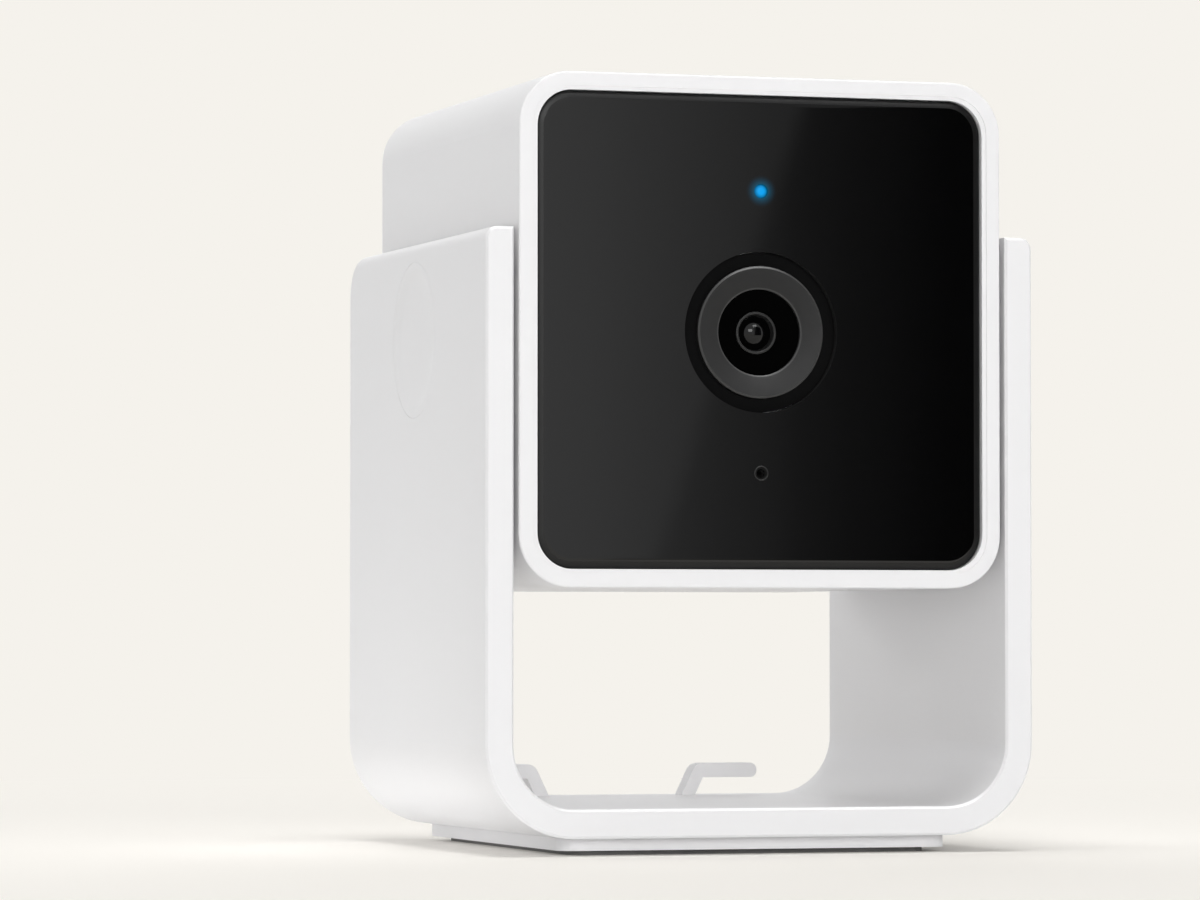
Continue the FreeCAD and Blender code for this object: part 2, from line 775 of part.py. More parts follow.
def cut_pivot_bore(body, side):
    """The stepped bore through one arm: cap seat, flange recess and trunnion bore."""
    cap, flange = S.cap_radius + S.press_clearance, S.flange_radius + S.flange_clearance
    bore = S.trunnion_radius + S.running_clearance
    steps = [(ARM_OUTER, 0), (ARM_OUTER, cap), (CAP_SEAT, cap), (CAP_SEAT, flange),
             (FLANGE_SEAT, flange), (FLANGE_SEAT, bore), (ARM_INNER, bore), (ARM_INNER, 0)]
    turn_profile(body, "XZ_Plane", [(side * x, radius) for x, radius in steps], "H_Axis", "Groove")


def build_foot():
    """Foot plate, its dark pad and the four screws that the pad hides."""
    body = new_body("foot_plate")
    sketch = sketch_on(body, "XY_Plane", PLATE_BOTTOM)
    rounded_rectangle(sketch, FOOT_HALF_X, FOOT_HALF_Y, S.foot_corner)
    pad(body, sketch, PLATE_TOP - PLATE_BOTTOM)
    sketch = sketch_on(body, "XY_Plane", PLATE_BOTTOM)
    margin = S.pad_margin
    rounded_rectangle(sketch, FOOT_HALF_X - margin, FOOT_HALF_Y - margin, S.foot_corner)
    pocket(body, sketch, S.pad_recess, reverse=True)
    places = foot_screw_places()
    clear = S.foot_screw_radius + S.foot_fit
    sketch = sketch_on(body, "XY_Plane", PAD_TOP)
    for x, y in places:
        circle(sketch, x, y, clear)
    pocket(body, sketch, PLATE_TOP - PAD_TOP, reverse=True)
    dress_edges(body, "Chamfer", lambda edge: near(edge.BoundBox.ZMin, PAD_TOP)
                and near(edge.BoundBox.ZMax, PAD_TOP) and near(edge.BoundBox.XLength, 2 * clear),
                S.foot_screw_head - S.foot_screw_radius)

    body = new_body("foot_pad")
    sketch = sketch_on(body, "XY_Plane", GROUND)
    inset = margin + S.foot_fit
    rounded_rectangle(sketch, FOOT_HALF_X - inset, FOOT_HALF_Y - inset, S.foot_corner)
    pad(body, sketch, PAD_TOP - GROUND)

    screws = []
    cone_height = S.foot_screw_head - S.foot_screw_radius
    for number, (x, y) in enumerate(places):
        head = DOC.addObject("Part::Cone", f"foot_screw_head_{number}")
        bind(head, "Radius1", S.foot_screw_head)
        bind(head, "Radius2", S.foot_screw_radius)
        bind(head, "Height", cone_height)
        seat(head, x, -y, PAD_TOP)
        shank = DOC.addObject("Part::Cylinder", f"foot_screw_shank_{number}")
        bind(shank, "Radius", S.foot_screw_radius)
        bind(shank, "Height", PLATE_TOP - PAD_TOP + S.foot_screw_bite)
        seat(shank, x, -y, PAD_TOP)
        screws.append(join(f"foot_screw_{number}", [head, shank]))
    group("foot_screws", screws)


def build_tilt_joint(side, word):
    """One pivot: cap in the arm; trunnion, screw, brass insert and friction washer on the head."""
    cap = new_body("pivot_cap_" + word)
    profile = [(CAP_SEAT, 0), (ARM_OUTER, 0), (ARM_OUTER, S.cap_radius - S.cap_edge_break),
               (ARM_OUTER - S.cap_edge_break, S.cap_radius), (CAP_SEAT, S.cap_radius)]
    turn_profile(cap, "XZ_Plane", [(side * x, radius) for x, radius in profile], "H_Axis")

    end = SOCKET_END + S.running_clearance
    bore = S.pivot_screw_radius + S.press_clearance
    trunnion = new_body("trunnion_" + word)
    profile = [(end, bore), (FLANGE_OUTER - S.pivot_screw_cone, bore),
               (FLANGE_OUTER, S.pivot_screw_head + S.press_clearance), (FLANGE_OUTER, S.flange_radius),
               (FLANGE_INNER, S.flange_radius), (FLANGE_INNER, S.trunnion_radius),
               (end, S.trunnion_radius)]
    turn_profile(trunnion, "XZ_Plane", [(side * x, radius) for x, radius in profile], "H_Axis")

    washer = new_body("friction_washer_" + word)
    outer = ARM_INNER - S.running_clearance
    inner_radius = S.trunnion_radius + S.running_clearance
    profile = [(HALF_WIDTH, inner_radius), (outer, inner_radius),
               (outer, S.friction_washer_radius), (HALF_WIDTH, S.friction_washer_radius)]
    turn_profile(washer, "XZ_Plane", [(side * x, radius) for x, radius in profile], "H_Axis")

    insert_end = SOCKET_END - S.insert_length
    screw = new_body("pivot_screw_" + word)
    profile = [(insert_end, 0), (FLANGE_OUTER, 0), (FLANGE_OUTER, S.pivot_screw_head),
               (FLANGE_OUTER - S.pivot_screw_cone, S.pivot_screw_radius),
               (insert_end, S.pivot_screw_radius)]
    turn_profile(screw, "XZ_Plane", [(side * x, radius) for x, radius in profile], "H_Axis")

    insert = new_body("pivot_insert_" + word)
    profile = [(insert_end, bore), (SOCKET_END, bore), (SOCKET_END, S.insert_radius),
               (insert_end, S.insert_radius)]
    turn_profile(insert, "XZ_Plane", [(side * x, radius) for x, radius in profile], "H_Axis")


# ---------------------------------------------------------------- head housing

def speaker_posts():
    """Centres of the three speaker ears, one straight up."""
    places = []
    for degrees in SPEAKER_EAR_ANGLES:
        angle = math.radians(degrees)
        places.append((EAR_CIRCLE * round(math.cos(angle), 6),
                       SPEAKER_LIFT + EAR_CIRCLE * round(math.sin(angle), 6)))
    return places


def rear_posts():
    """Centres of the two posts that carry the rear board."""
    return [(side * REAR_POST_X, -S.inlet_drop) for side in (1, -1)]


def build_head_shell():
    """The deep white housing: open at the front, with a grille, an inlet and a button hole behind."""
    body = new_body("head_shell")
    sketch = sketch_on(body, "XZ_Plane")
    rounded_rectangle(sketch, HALF_WIDTH, HALF_HEIGHT, S.head_corner)
    pad(body, sketch, S.head_depth, symmetric=True)
    dress_edges(body, "Fillet", lambda edge: on_plane(edge, -HALF_DEPTH), S.head_back_round)
    sketch = sketch_on(body, "XZ_Plane", HALF_DEPTH)
    rounded_rectangle(sketch, SHELL_INNER_X, SHELL_INNER_Z, S.head_corner - S.shell_wall)
    pocket(body, sketch, S.head_depth - S.back_wall)
    dress_edges(body, "Fillet", lambda edge: on_plane(edge, BACK_INNER),
                S.head_inner_round)
    dress_edges(body, "Fillet", lambda edge: on_plane(edge, HALF_DEPTH)
                and (near(edge.BoundBox.ZMax, HALF_HEIGHT)), S.head_front_round)
    add_rear_posts(body)
    cut_back_openings(body)
    cut_grille(body)
    bores = sketch_on(body, "YZ_Plane")
    circle(bores, 0, 0, S.trunnion_radius + S.running_clearance)
    pocket(body, bores, S.head_width + S.head_gap, symmetric=True)
    return body


def add_rear_posts(body):
    """Posts on the inside of the back wall for the speaker and for the rear board."""
    sketch = sketch_on(body, "XZ_Plane", BACK_INNER)
    for x, z in speaker_posts():
        circle(sketch, x, z, S.speaker_post_radius)
    pad(body, sketch, EAR_BACK - BACK_INNER)
    sketch = sketch_on(body, "XZ_Plane", BACK_INNER)
    for x, z in rear_posts():
        circle(sketch, x, z, S.rear_post_radius)
    pad(body, sketch, REAR_BOARD_BACK - BACK_INNER)
    pilot = S.pilot_radius
    sketch = sketch_on(body, "XZ_Plane", EAR_BACK)
    for x, z in speaker_posts():
        circle(sketch, x, z, pilot)
    pocket(body, sketch, S.speaker_screw_length)
    sketch = sketch_on(body, "XZ_Plane", REAR_BOARD_BACK)
    for x, z in rear_posts():
        circle(sketch, x, z, pilot)
    pocket(body, sketch, S.rear_screw_length)


def cut_back_openings(body):
    """The inlet for the power plug and the hole of the reset button."""
    sketch = sketch_on(body, "XZ_Plane", BACK_OUTER)
    half_x = S.inlet_width / 2
    half_z = S.inlet_height / 2
    rectangle(sketch, -half_x, half_x, -S.inlet_drop - half_z, -S.inlet_drop + half_z)
    pocket(body, sketch, S.back_wall, reverse=True)
    dress_edges(body, "Fillet", lambda edge: runs_deep(edge)
                and near(abs(edge.CenterOfMass.x), half_x)
                and near(abs(edge.CenterOfMass.z + S.inlet_drop.value), half_z), S.inlet_corner)
    sketch = sketch_on(body, "XZ_Plane", BACK_OUTER)
    circle(sketch, S.button_offset, -S.inlet_drop, S.button_radius + S.button_fit)
    pocket(body, sketch, S.back_wall, reverse=True)


def cut_grille(body):
    """A round grille of small holes in rings, in front of the speaker cone."""
    sketch = sketch_on(body, "XZ_Plane", BACK_OUTER)
    circle(sketch, 0, SPEAKER_LIFT, S.grille_hole)
    for ring in range(1, GRILLE_RINGS + 1):
        holes = 6 * ring
        for hole in range(holes):
            angle = 2 * math.pi * hole / holes
            circle(sketch, S.grille_pitch * ring * round(math.cos(angle), 6),
                   SPEAKER_LIFT + S.grille_pitch * ring * round(math.sin(angle), 6), S.grille_hole)
    pocket(body, sketch, S.back_wall, reverse=True)


def build_front_frame():
    """The thin white frame that holds the panel: a lip in front, a floor, and a skirt behind."""
    body = new_body("front_frame")
    back = FRAME_BACK - S.frame_skirt
    sketch = sketch_on(body, "XZ_Plane", back)
    rounded_rectangle(sketch, FRAME_HALF_X, FRAME_HALF_Z, FRAME_CORNER)
    pad(body, sketch, FRAME_LIP - back)
    sketch = sketch_on(body, "XZ_Plane", FRAME_LIP)
    rounded_rectangle(sketch, PANEL_HALF_X + S.panel_gap, PANEL_HALF_Z + S.panel_gap,
                      PANEL_CORNER + S.panel_gap)
    pocket(body, sketch, FRAME_LIP - FRAME_FACE)
    sketch = sketch_on(body, "XZ_Plane", back)
    rounded_rectangle(sketch, FRAME_HALF_X - S.frame_skirt_wall, FRAME_HALF_Z - S.frame_skirt_wall,
                      FRAME_CORNER - S.frame_skirt_wall)
    pocket(body, sketch, S.frame_skirt, reverse=True)
    sketch = sketch_on(body, "XZ_Plane", FRAME_FACE)
    circle(sketch, 0, 0, GROOVE_RADIUS - S.well_wall + S.press_clearance)
    circle(sketch, 0, LED_HEIGHT, S.led_collar_radius + S.press_clearance)
    circle(sketch, 0, MICROPHONE_HEIGHT, S.gasket_radius + S.press_clearance)
    for x, z in lamp_places():
        circle(sketch, x, z, S.lamp_window_radius)
    clear = S.frame_screw_radius + S.press_clearance
    for x, z in corners(FRAME_SCREW_X, FRAME_SCREW_Z):
        circle(sketch, x, z, clear)
    pocket(body, sketch, S.frame_floor)
    dress_edges(body, "Chamfer", lambda edge: on_plane(edge, FRAME_FACE)
                and near(edge.BoundBox.XLength, 2 * clear), S.frame_screw_head - S.frame_screw_radius)
    add_frame_posts(body)
    return body


def add_frame_posts(body):
    """Four posts behind the frame's floor that the front board is screwed to."""
    places = front_board_screw_places()
    sketch = sketch_on(body, "XZ_Plane", FRAME_BACK)
    for x, z in places:
        circle(sketch, x, z, S.frame_post_radius)
    pad(body, sketch, S.front_board_gap, reverse=True)
    sketch = sketch_on(body, "XZ_Plane", FRONT_BOARD_FRONT)
    for x, z in places:
        circle(sketch, x, z, S.board_screw_radius)
    pocket(body, sketch, S.front_board_gap + S.front_board_screw_bite, reverse=True)


def lamp_places():
    """Centres of the eight infrared lamps round the lens, between the status light and the microphone."""
    places = []
    step = 2 * math.pi / LAMP_COUNT
    for number in range(LAMP_COUNT):
        angle = step * (number + 0.5)
        places.append((S.lamp_circle * round(math.cos(angle), 6),
                       S.lamp_circle * round(math.sin(angle), 6)))
    return places


def build_front_panel():
    """The glossy black panel with its lens hole, light hole and microphone hole."""
    body = new_body("front_panel")
    sketch = sketch_on(body, "XZ_Plane", PANEL_BACK)
    rounded_rectangle(sketch, PANEL_HALF_X, PANEL_HALF_Z, PANEL_CORNER)
    pad(body, sketch, S.panel_thickness)
    dress_edges(body, "Chamfer", lambda edge: on_plane(edge, PANEL_FRONT), S.panel_edge_break)
    sketch = sketch_on(body, "XZ_Plane", PANEL_FRONT)
    circle(sketch, 0, 0, GROOVE_RADIUS)
    circle(sketch, 0, LED_HEIGHT, S.led_radius + S.led_hole_clearance)
    circle(sketch, 0, MICROPHONE_HEIGHT, S.microphone_hole)
    pocket(body, sketch, S.panel_thickness)
    sketch = sketch_on(body, "XZ_Plane", PANEL_FRONT)
    circle(sketch, 0, MICROPHONE_HEIGHT, S.microphone_rim)
    pocket(body, sketch, S.microphone_rim_depth)

    body = new_body("panel_adhesive")
    sketch = sketch_on(body, "XZ_Plane", FRAME_FACE)
    half_x, half_z = PANEL_HALF_X - S.adhesive_inset, PANEL_HALF_Z - S.adhesive_inset
    corner = PANEL_CORNER - S.adhesive_inset
    rounded_rectangle(sketch, half_x, half_z, corner)
    rounded_rectangle(sketch, half_x - S.adhesive_width, half_z - S.adhesive_width,
                      corner - S.adhesive_width)
    pad(body, sketch, S.adhesive_thickness)


# ---------------------------------------------------------------- lens

def build_lens():
    """Black well, grey ring, barrel and the glass in it."""
    groove = GROOVE_RADIUS - S.press_clearance
    spigot = GROOVE_RADIUS - S.well_wall
    ring = S.lens_ring_radius
    floor = PANEL_FRONT - S.groove_depth
    turned_deep("lens_well", [(ring + S.press_clearance, FRAME_BACK), (spigot, FRAME_BACK),
                              (spigot, FRAME_FACE), (groove, FRAME_FACE), (groove, floor),
                              (ring + S.press_clearance, floor)])
    front = PANEL_FRONT - S.lens_ring_sink
    back = front - S.lens_ring_length
    bevel, rim = S.lens_ring_bevel, S.lens_ring_rim_bevel
    bore = S.lens_ring_bore
    dish = front - S.lens_ring_dish
    seat_radius = S.barrel_flange_radius + S.press_clearance
    shoulder = front - S.lens_ring_seat
    turned_deep("lens_ring", [(bore, shoulder), (bore, dish - rim), (bore + rim, dish),
                              (ring - bevel, front), (ring, front - bevel), (ring, back),
                              (seat_radius, back), (seat_radius, shoulder)])
    build_barrel()
    build_glass()


def build_barrel():
    """The black lens barrel: a conical mouth, a raised rim round the glass, a stepped bore."""
    cone_back = BARREL_FRONT - S.barrel_cone_depth
    glass = S.front_lens_radius + S.press_clearance
    rim = glass + S.front_lens_rim
    shelf = cone_back - S.front_lens_edge
    wide = S.rear_lens_radius + S.press_clearance
    exit_shelf = BARREL_BACK + S.barrel_exit_wall
    turned_deep("lens_barrel", [
        (S.barrel_exit_radius, BARREL_BACK), (S.barrel_radius, BARREL_BACK),
        (S.barrel_radius, FLANGE_BACK), (S.barrel_flange_radius, FLANGE_BACK),
        (S.barrel_flange_radius, BARREL_FRONT), (S.barrel_cone_radius, BARREL_FRONT),
        (rim, cone_back), (rim, cone_back + S.front_lens_rim / 2), (glass, cone_back + S.front_lens_rim / 2),
        (glass, shelf), (S.barrel_exit_radius - S.front_lens_rim, shelf),
        (S.barrel_exit_radius - S.front_lens_rim, shelf - S.barrel_exit_wall),
        (wide, shelf - S.barrel_exit_wall), (wide, exit_shelf), (S.barrel_exit_radius, exit_shelf)])


def build_glass():
    """A domed front element and two rear elements."""
    cone_back = BARREL_FRONT - S.barrel_cone_depth
    shelf = cone_back - S.front_lens_edge
    crown = cone_back - S.front_lens_sink
    body = new_body("front_lens")
    sketch = sketch_on(body, "XY_Plane")
    rectangle(sketch, 0, S.front_lens_radius, -crown, -shelf)
    feature = add_feature(body, "Revolution", sketch)
    feature.ReferenceAxis = (sketch, ["V_Axis"])
    feature.Angle = 360
    DOC.recompute()
    dress_edges(body, "Fillet", lambda edge: on_plane(edge, crown)
                and edge.Length > 1, S.front_lens_round)
    rear = []
    exit_shelf = BARREL_BACK + S.barrel_exit_wall
    for number in range(2):
        back = exit_shelf + number * S.rear_lens_spacing
        rear.append(rod(f"rear_lens_{number}", 0, 0, S.rear_lens_radius, back,
                        back + S.rear_lens_thickness))
    group("rear_lenses", rear)


def build_lens_holder():
    """The holder on the main board: a base with the filter chamber and a neck for the barrel."""
    body = new_body("lens_holder")
    half_x, half_z = CHAMBER_HALF_X + S.chamber_end_wall, HOLDER_HALF_Z
    sketch = sketch_on(body, "XZ_Plane", BOARD_FRONT)
    rectangle(sketch, -half_x, half_x, -half_z, half_z)
    pad(body, sketch, S.holder_base_depth)
    sketch = sketch_on(body, "XZ_Plane", HOLDER_TOP)
    circle(sketch, 0, 0, S.holder_neck_radius)
    pad(body, sketch, S.holder_neck_length)
    sketch = sketch_on(body, "XZ_Plane", NECK_END)
    circle(sketch, 0, 0, S.barrel_radius + S.holder_fit)
    pocket(body, sketch, NECK_END - BARREL_BACK + S.barrel_end_gap)
    sketch = sketch_on(body, "XZ_Plane", CHAMBER_BACK)
    rectangle(sketch, -CHAMBER_HALF_X, CHAMBER_HALF_X, -CHAMBER_HALF_Z, CHAMBER_HALF_Z)
    pocket(body, sketch, S.filter_thickness + 2 * S.chamber_face_gap, reverse=True)
    sketch = sketch_on(body, "XZ_Plane", BOARD_FRONT)
    circle(sketch, 0, 0, S.light_hole_radius)
    pocket(body, sketch, S.holder_base_depth, reverse=True)
    margin = S.sensor_gap
    half_x, half_z = S.sensor_width / 2 + margin, S.sensor_height / 2 + margin
    sketch = sketch_on(body, "XZ_Plane", BOARD_FRONT)
    rectangle(sketch, -half_x, half_x, -half_z, half_z)
    pocket(body, sketch, S.sensor_thickness + margin, reverse=True)
    return body


def build_filter():
    """The sliding plate behind the lens: its filter end is on the lens axis, its open end beside it."""
    body = new_body("infrared_cut_filter")
    back = CHAMBER_BACK + S.chamber_face_gap
    right = (S.filter_width - S.filter_travel) / 2
    half_z = S.filter_height / 2
    sketch = sketch_on(body, "XZ_Plane", back)
    rectangle(sketch, right - S.filter_width, right, -half_z, half_z)
    pad(body, sketch, S.filter_thickness)
    half_window = S.filter_window / 2
    sketch = sketch_on(body, "XZ_Plane", back)
    rectangle(sketch, -S.filter_travel - half_window, -S.filter_travel + half_window,
              -half_window, half_window)
    pocket(body, sketch, S.filter_thickness, reverse=True)

    block("filter_actuator", -S.actuator_width / 2, S.actuator_width / 2, BOARD_FRONT,
          BOARD_FRONT + S.actuator_depth, HOLDER_HALF_Z, HOLDER_HALF_Z + S.actuator_height)
    block("image_sensor", -S.sensor_width / 2, S.sensor_width / 2, BOARD_FRONT,
          BOARD_FRONT + S.sensor_thickness, -S.sensor_height / 2, S.sensor_height / 2)


# ---------------------------------------------------------------- chassis and boards

def build_chassis():
    """The inner frame: a ring in the shell, a web, trunnion sockets and four long corner bosses."""
    body = new_body("chassis")
    corner = S.head_corner - S.shell_wall - S.chassis_gap
    sketch = sketch_on(body, "XZ_Plane", CHASSIS_BACK)
    rounded_rectangle(sketch, CHASSIS_SIDE, CHASSIS_TOP, corner)
    pad(body, sketch, WEB_FRONT - CHASSIS_BACK)
    root = WEB_FRONT - S.web_thickness
    sketch = sketch_on(body, "XZ_Plane", root)
    rounded_rectangle(sketch, CHASSIS_SIDE - S.chassis_wall, CHASSIS_TOP - S.chassis_wall,
                      corner - S.chassis_wall)
    pocket(body, sketch, root - CHASSIS_BACK)
    sketch = sketch_on(body, "XZ_Plane", WEB_FRONT)
    half_x = BOARD_SCREW_X - S.boss_radius - S.web_window_side
    half_z = S.web_window_height / 2
    for level in (WINDOW_LEVEL, -WINDOW_LEVEL):
        rectangle(sketch, -half_x, half_x, level - half_z, level + half_z)
    pocket(body, sketch, S.web_thickness)
    for side in (1, -1):
        inner = CHASSIS_SIDE - S.socket_boss_length
        sketch = sketch_on(body, "YZ_Plane", side * inner)
        circle(sketch, 0, 0, S.socket_boss_radius)
        pad(body, sketch, S.socket_boss_length, reverse=side < 0)
        bore, insert = S.trunnion_radius + S.running_clearance, S.insert_radius + S.press_clearance
        steps = [(CHASSIS_SIDE, 0), (CHASSIS_SIDE, bore), (SOCKET_END, bore), (SOCKET_END, insert),
                 (inner, insert), (inner, 0)]
        turn_profile(body, "XZ_Plane", [(side * x, radius) for x, radius in steps], "H_Axis", "Groove")
    add_chassis_bosses(body)
    return body


def add_chassis_bosses(body):
    """Corner bosses up to the front frame, short ones for the main board, and their pilot holes."""
    frame_places = corners(FRAME_SCREW_X, FRAME_SCREW_Z)
    board_places = corners(BOARD_SCREW_X, BOARD_SCREW_Z)
    root = WEB_FRONT - S.web_thickness
    board_bite = S.board_screw_length - S.board_thickness
    for places, top, depth, radius in ((frame_places, FRAME_BACK, S.frame_screw_length, S.pilot_radius),
                                       (board_places, BOARD_BACK, board_bite, S.board_screw_radius)):
        sketch = sketch_on(body, "XZ_Plane", root)
        for x, z in places:
            circle(sketch, x, z, S.boss_radius)
        pad(body, sketch, top - root)
        sketch = sketch_on(body, "XZ_Plane", top)
        for x, z in places:
            circle(sketch, x, z, radius)
        pocket(body, sketch, depth)


def build_frame_screws():
    """Four countersunk screws through the frame's floor into the chassis."""
    screws = []
    cone_height = S.frame_screw_head - S.frame_screw_radius
    neck = FRAME_FACE - cone_height
    for number, (x, z) in enumerate(corners(FRAME_SCREW_X, FRAME_SCREW_Z)):
        name = f"frame_screw_{number}"
        head = cone(name + "_head", x, z, S.frame_screw_radius, S.frame_screw_head, neck, FRAME_FACE)
        waist = rod(name + "_waist", x, z, S.frame_screw_radius, FRAME_BACK, neck)
        shank = rod(name + "_shank", x, z, S.pilot_radius, FRAME_BACK - S.frame_screw_length, FRAME_BACK)
        screws.append(join(name, [head, waist, shank]))
    group("frame_screws", screws)


def build_main_board():
    """Main board with corner notches, chips, connectors, thermal pad, heat spreader and screws."""
    body = new_body("main_board")
    sketch = sketch_on(body, "XZ_Plane", BOARD_BACK)
    rectangle(sketch, -BOARD_HALF_X, BOARD_HALF_X, -BOARD_HALF_Z, BOARD_HALF_Z)
    pad(body, sketch, S.board_thickness)
    sketch = sketch_on(body, "XZ_Plane", BOARD_FRONT)
    for x, z in corners(FRAME_SCREW_X, FRAME_SCREW_Z):
        circle(sketch, x, z, S.boss_radius + S.board_notch_gap)
    pocket(body, sketch, S.board_thickness)
    places = corners(BOARD_SCREW_X, BOARD_SCREW_Z)
    sketch = sketch_on(body, "XZ_Plane", BOARD_FRONT)
    for x, z in places:
        circle(sketch, x, z, S.board_screw_radius + S.press_clearance)
    pocket(body, sketch, S.board_thickness)

    half_chip, half_memory = S.processor_width / 2, S.memory_width / 2
    left = S.memory_offset - half_memory
    processor = block("processor", -half_chip, half_chip, CHIP_FACE, BOARD_BACK, -half_chip, half_chip,
                      node=False)
    memory = block("memory", left, left + S.memory_width, CHIP_FACE, BOARD_BACK, -half_memory,
                   half_memory, node=False)
    group("board_chips", [processor, memory])
    half_pad = S.thermal_pad_width / 2
    block("thermal_pad", -half_pad, half_pad, SPREADER_FRONT, CHIP_FACE, -half_pad, half_pad)
    block("heat_spreader", -S.spreader_width / 2, S.spreader_width / 2, WEB_FRONT, SPREADER_FRONT,
          -S.spreader_height / 2, S.spreader_height / 2)

    sockets = []
    for number, x in enumerate(connector_places()):
        sockets.append(block(f"board_connector_{number}", x - S.connector_width / 2,
                             x + S.connector_width / 2, BOARD_BACK - S.connector_depth, BOARD_BACK,
                             -WINDOW_LEVEL - S.connector_height / 2,
                             -WINDOW_LEVEL + S.connector_height / 2, node=False))
    group("board_connectors", sockets)

    screws = [pan_screw(f"board_screw_{number}", x, z, BOARD_FRONT, S.board_screw_radius,
                        S.board_screw_head, S.board_screw_head_height, S.board_screw_length)
              for number, (x, z) in enumerate(places)]
    group("board_screws", screws)


def connector_places():
    """Three lead connectors side by side in the web's lower window."""
    return [S.connector_spread * step for step in (-1, 0, 1)]


def front_board_screw_places():
    """Centres of the four screws that hold the front board."""
    inset = S.front_board_screw_inset
    return corners(FRONT_BOARD_HALF_X - inset, FRONT_BOARD_HALF_Z - inset)


def build_front_board():
    """The board behind the frame with its lamps, status lamp, microphone, screws and flat cable."""
    body = new_body("front_board")
    sketch = sketch_on(body, "XZ_Plane", FRONT_BOARD_BACK)
    rectangle(sketch, -FRONT_BOARD_HALF_X, FRONT_BOARD_HALF_X, -FRONT_BOARD_HALF_Z, FRONT_BOARD_HALF_Z)
    pad(body, sketch, S.front_board_thickness)
    sketch = sketch_on(body, "XZ_Plane", FRONT_BOARD_FRONT)
    circle(sketch, 0, 0, S.lens_ring_radius + S.holder_fit)
    places = front_board_screw_places()
    for x, z in places:
        circle(sketch, x, z, S.board_screw_radius + S.press_clearance)
    pocket(body, sketch, S.front_board_thickness)

    lamps = []
    half_lamp = S.lamp_size / 2
    for number, (x, z) in enumerate(lamp_places()):
        lamps.append(block(f"infrared_lamp_{number}", x - half_lamp, x + half_lamp, FRONT_BOARD_FRONT,
                           FRONT_BOARD_FRONT + S.lamp_height, z - half_lamp, z + half_lamp, node=False))
    group("infrared_lamps", lamps)

    half_led = S.led_body / 2
    block("status_lamp", -half_led, half_led, FRONT_BOARD_FRONT, FRONT_BOARD_FRONT + S.lamp_height,
          LED_HEIGHT - half_led, LED_HEIGHT + half_led)
    light_back = FRONT_BOARD_FRONT + S.lamp_height
    turned_deep("light_pipe", [(0, light_back), (S.led_collar_radius, light_back),
                               (S.led_collar_radius, FRAME_FACE), (S.led_radius, FRAME_FACE),
                               (S.led_radius, PANEL_FRONT), (0, PANEL_FRONT)], height=LED_HEIGHT)

    half_microphone = S.microphone_width / 2
    top = FRONT_BOARD_FRONT + S.microphone_height
    block("microphone", -half_microphone, half_microphone, FRONT_BOARD_FRONT, top,
          MICROPHONE_HEIGHT - half_microphone, MICROPHONE_HEIGHT + half_microphone)
    turned_deep("microphone_gasket", [(S.microphone_hole, top), (S.gasket_radius, top),
                                      (S.gasket_radius, PANEL_BACK), (S.microphone_hole, PANEL_BACK)],
                height=MICROPHONE_HEIGHT)

    screws = [pan_screw(f"front_board_screw_{number}", x, z, FRONT_BOARD_BACK, S.board_screw_radius,
                        S.board_screw_head, S.board_screw_head_height,
                        S.front_board_thickness + S.front_board_gap + S.front_board_screw_bite, -1)
              for number, (x, z) in enumerate(places)]
    group("front_board_screws", screws)
    build_flex()


def build_flex():
    """The flat cable from the front board down to the main board, bowed away from the lens."""
    body = new_body("board_flex")
    sketch = sketch_on(body, "YZ_Plane")
    level = -S.flex_height
    thick = S.flex_thickness
    knee = level - S.flex_bulge
    middle = (FRONT_BOARD_BACK + BOARD_FRONT) / 2
    front, back = FRONT_BOARD_BACK, BOARD_FRONT
    outline(sketch, [(-front, level + S.flex_landing), (-front, level),
                     (-middle, knee), (-back, level), (-back, level + S.flex_landing),
                     (-back - thick, level + S.flex_landing), (-back - thick, level + thick / 2),
                     (-middle, knee + thick), (-front + thick, level + thick / 2),
                     (-front + thick, level + S.flex_landing)])
    pad(body, sketch, S.flex_width, symmetric=True)


# ---------------------------------------------------------------- back of the head

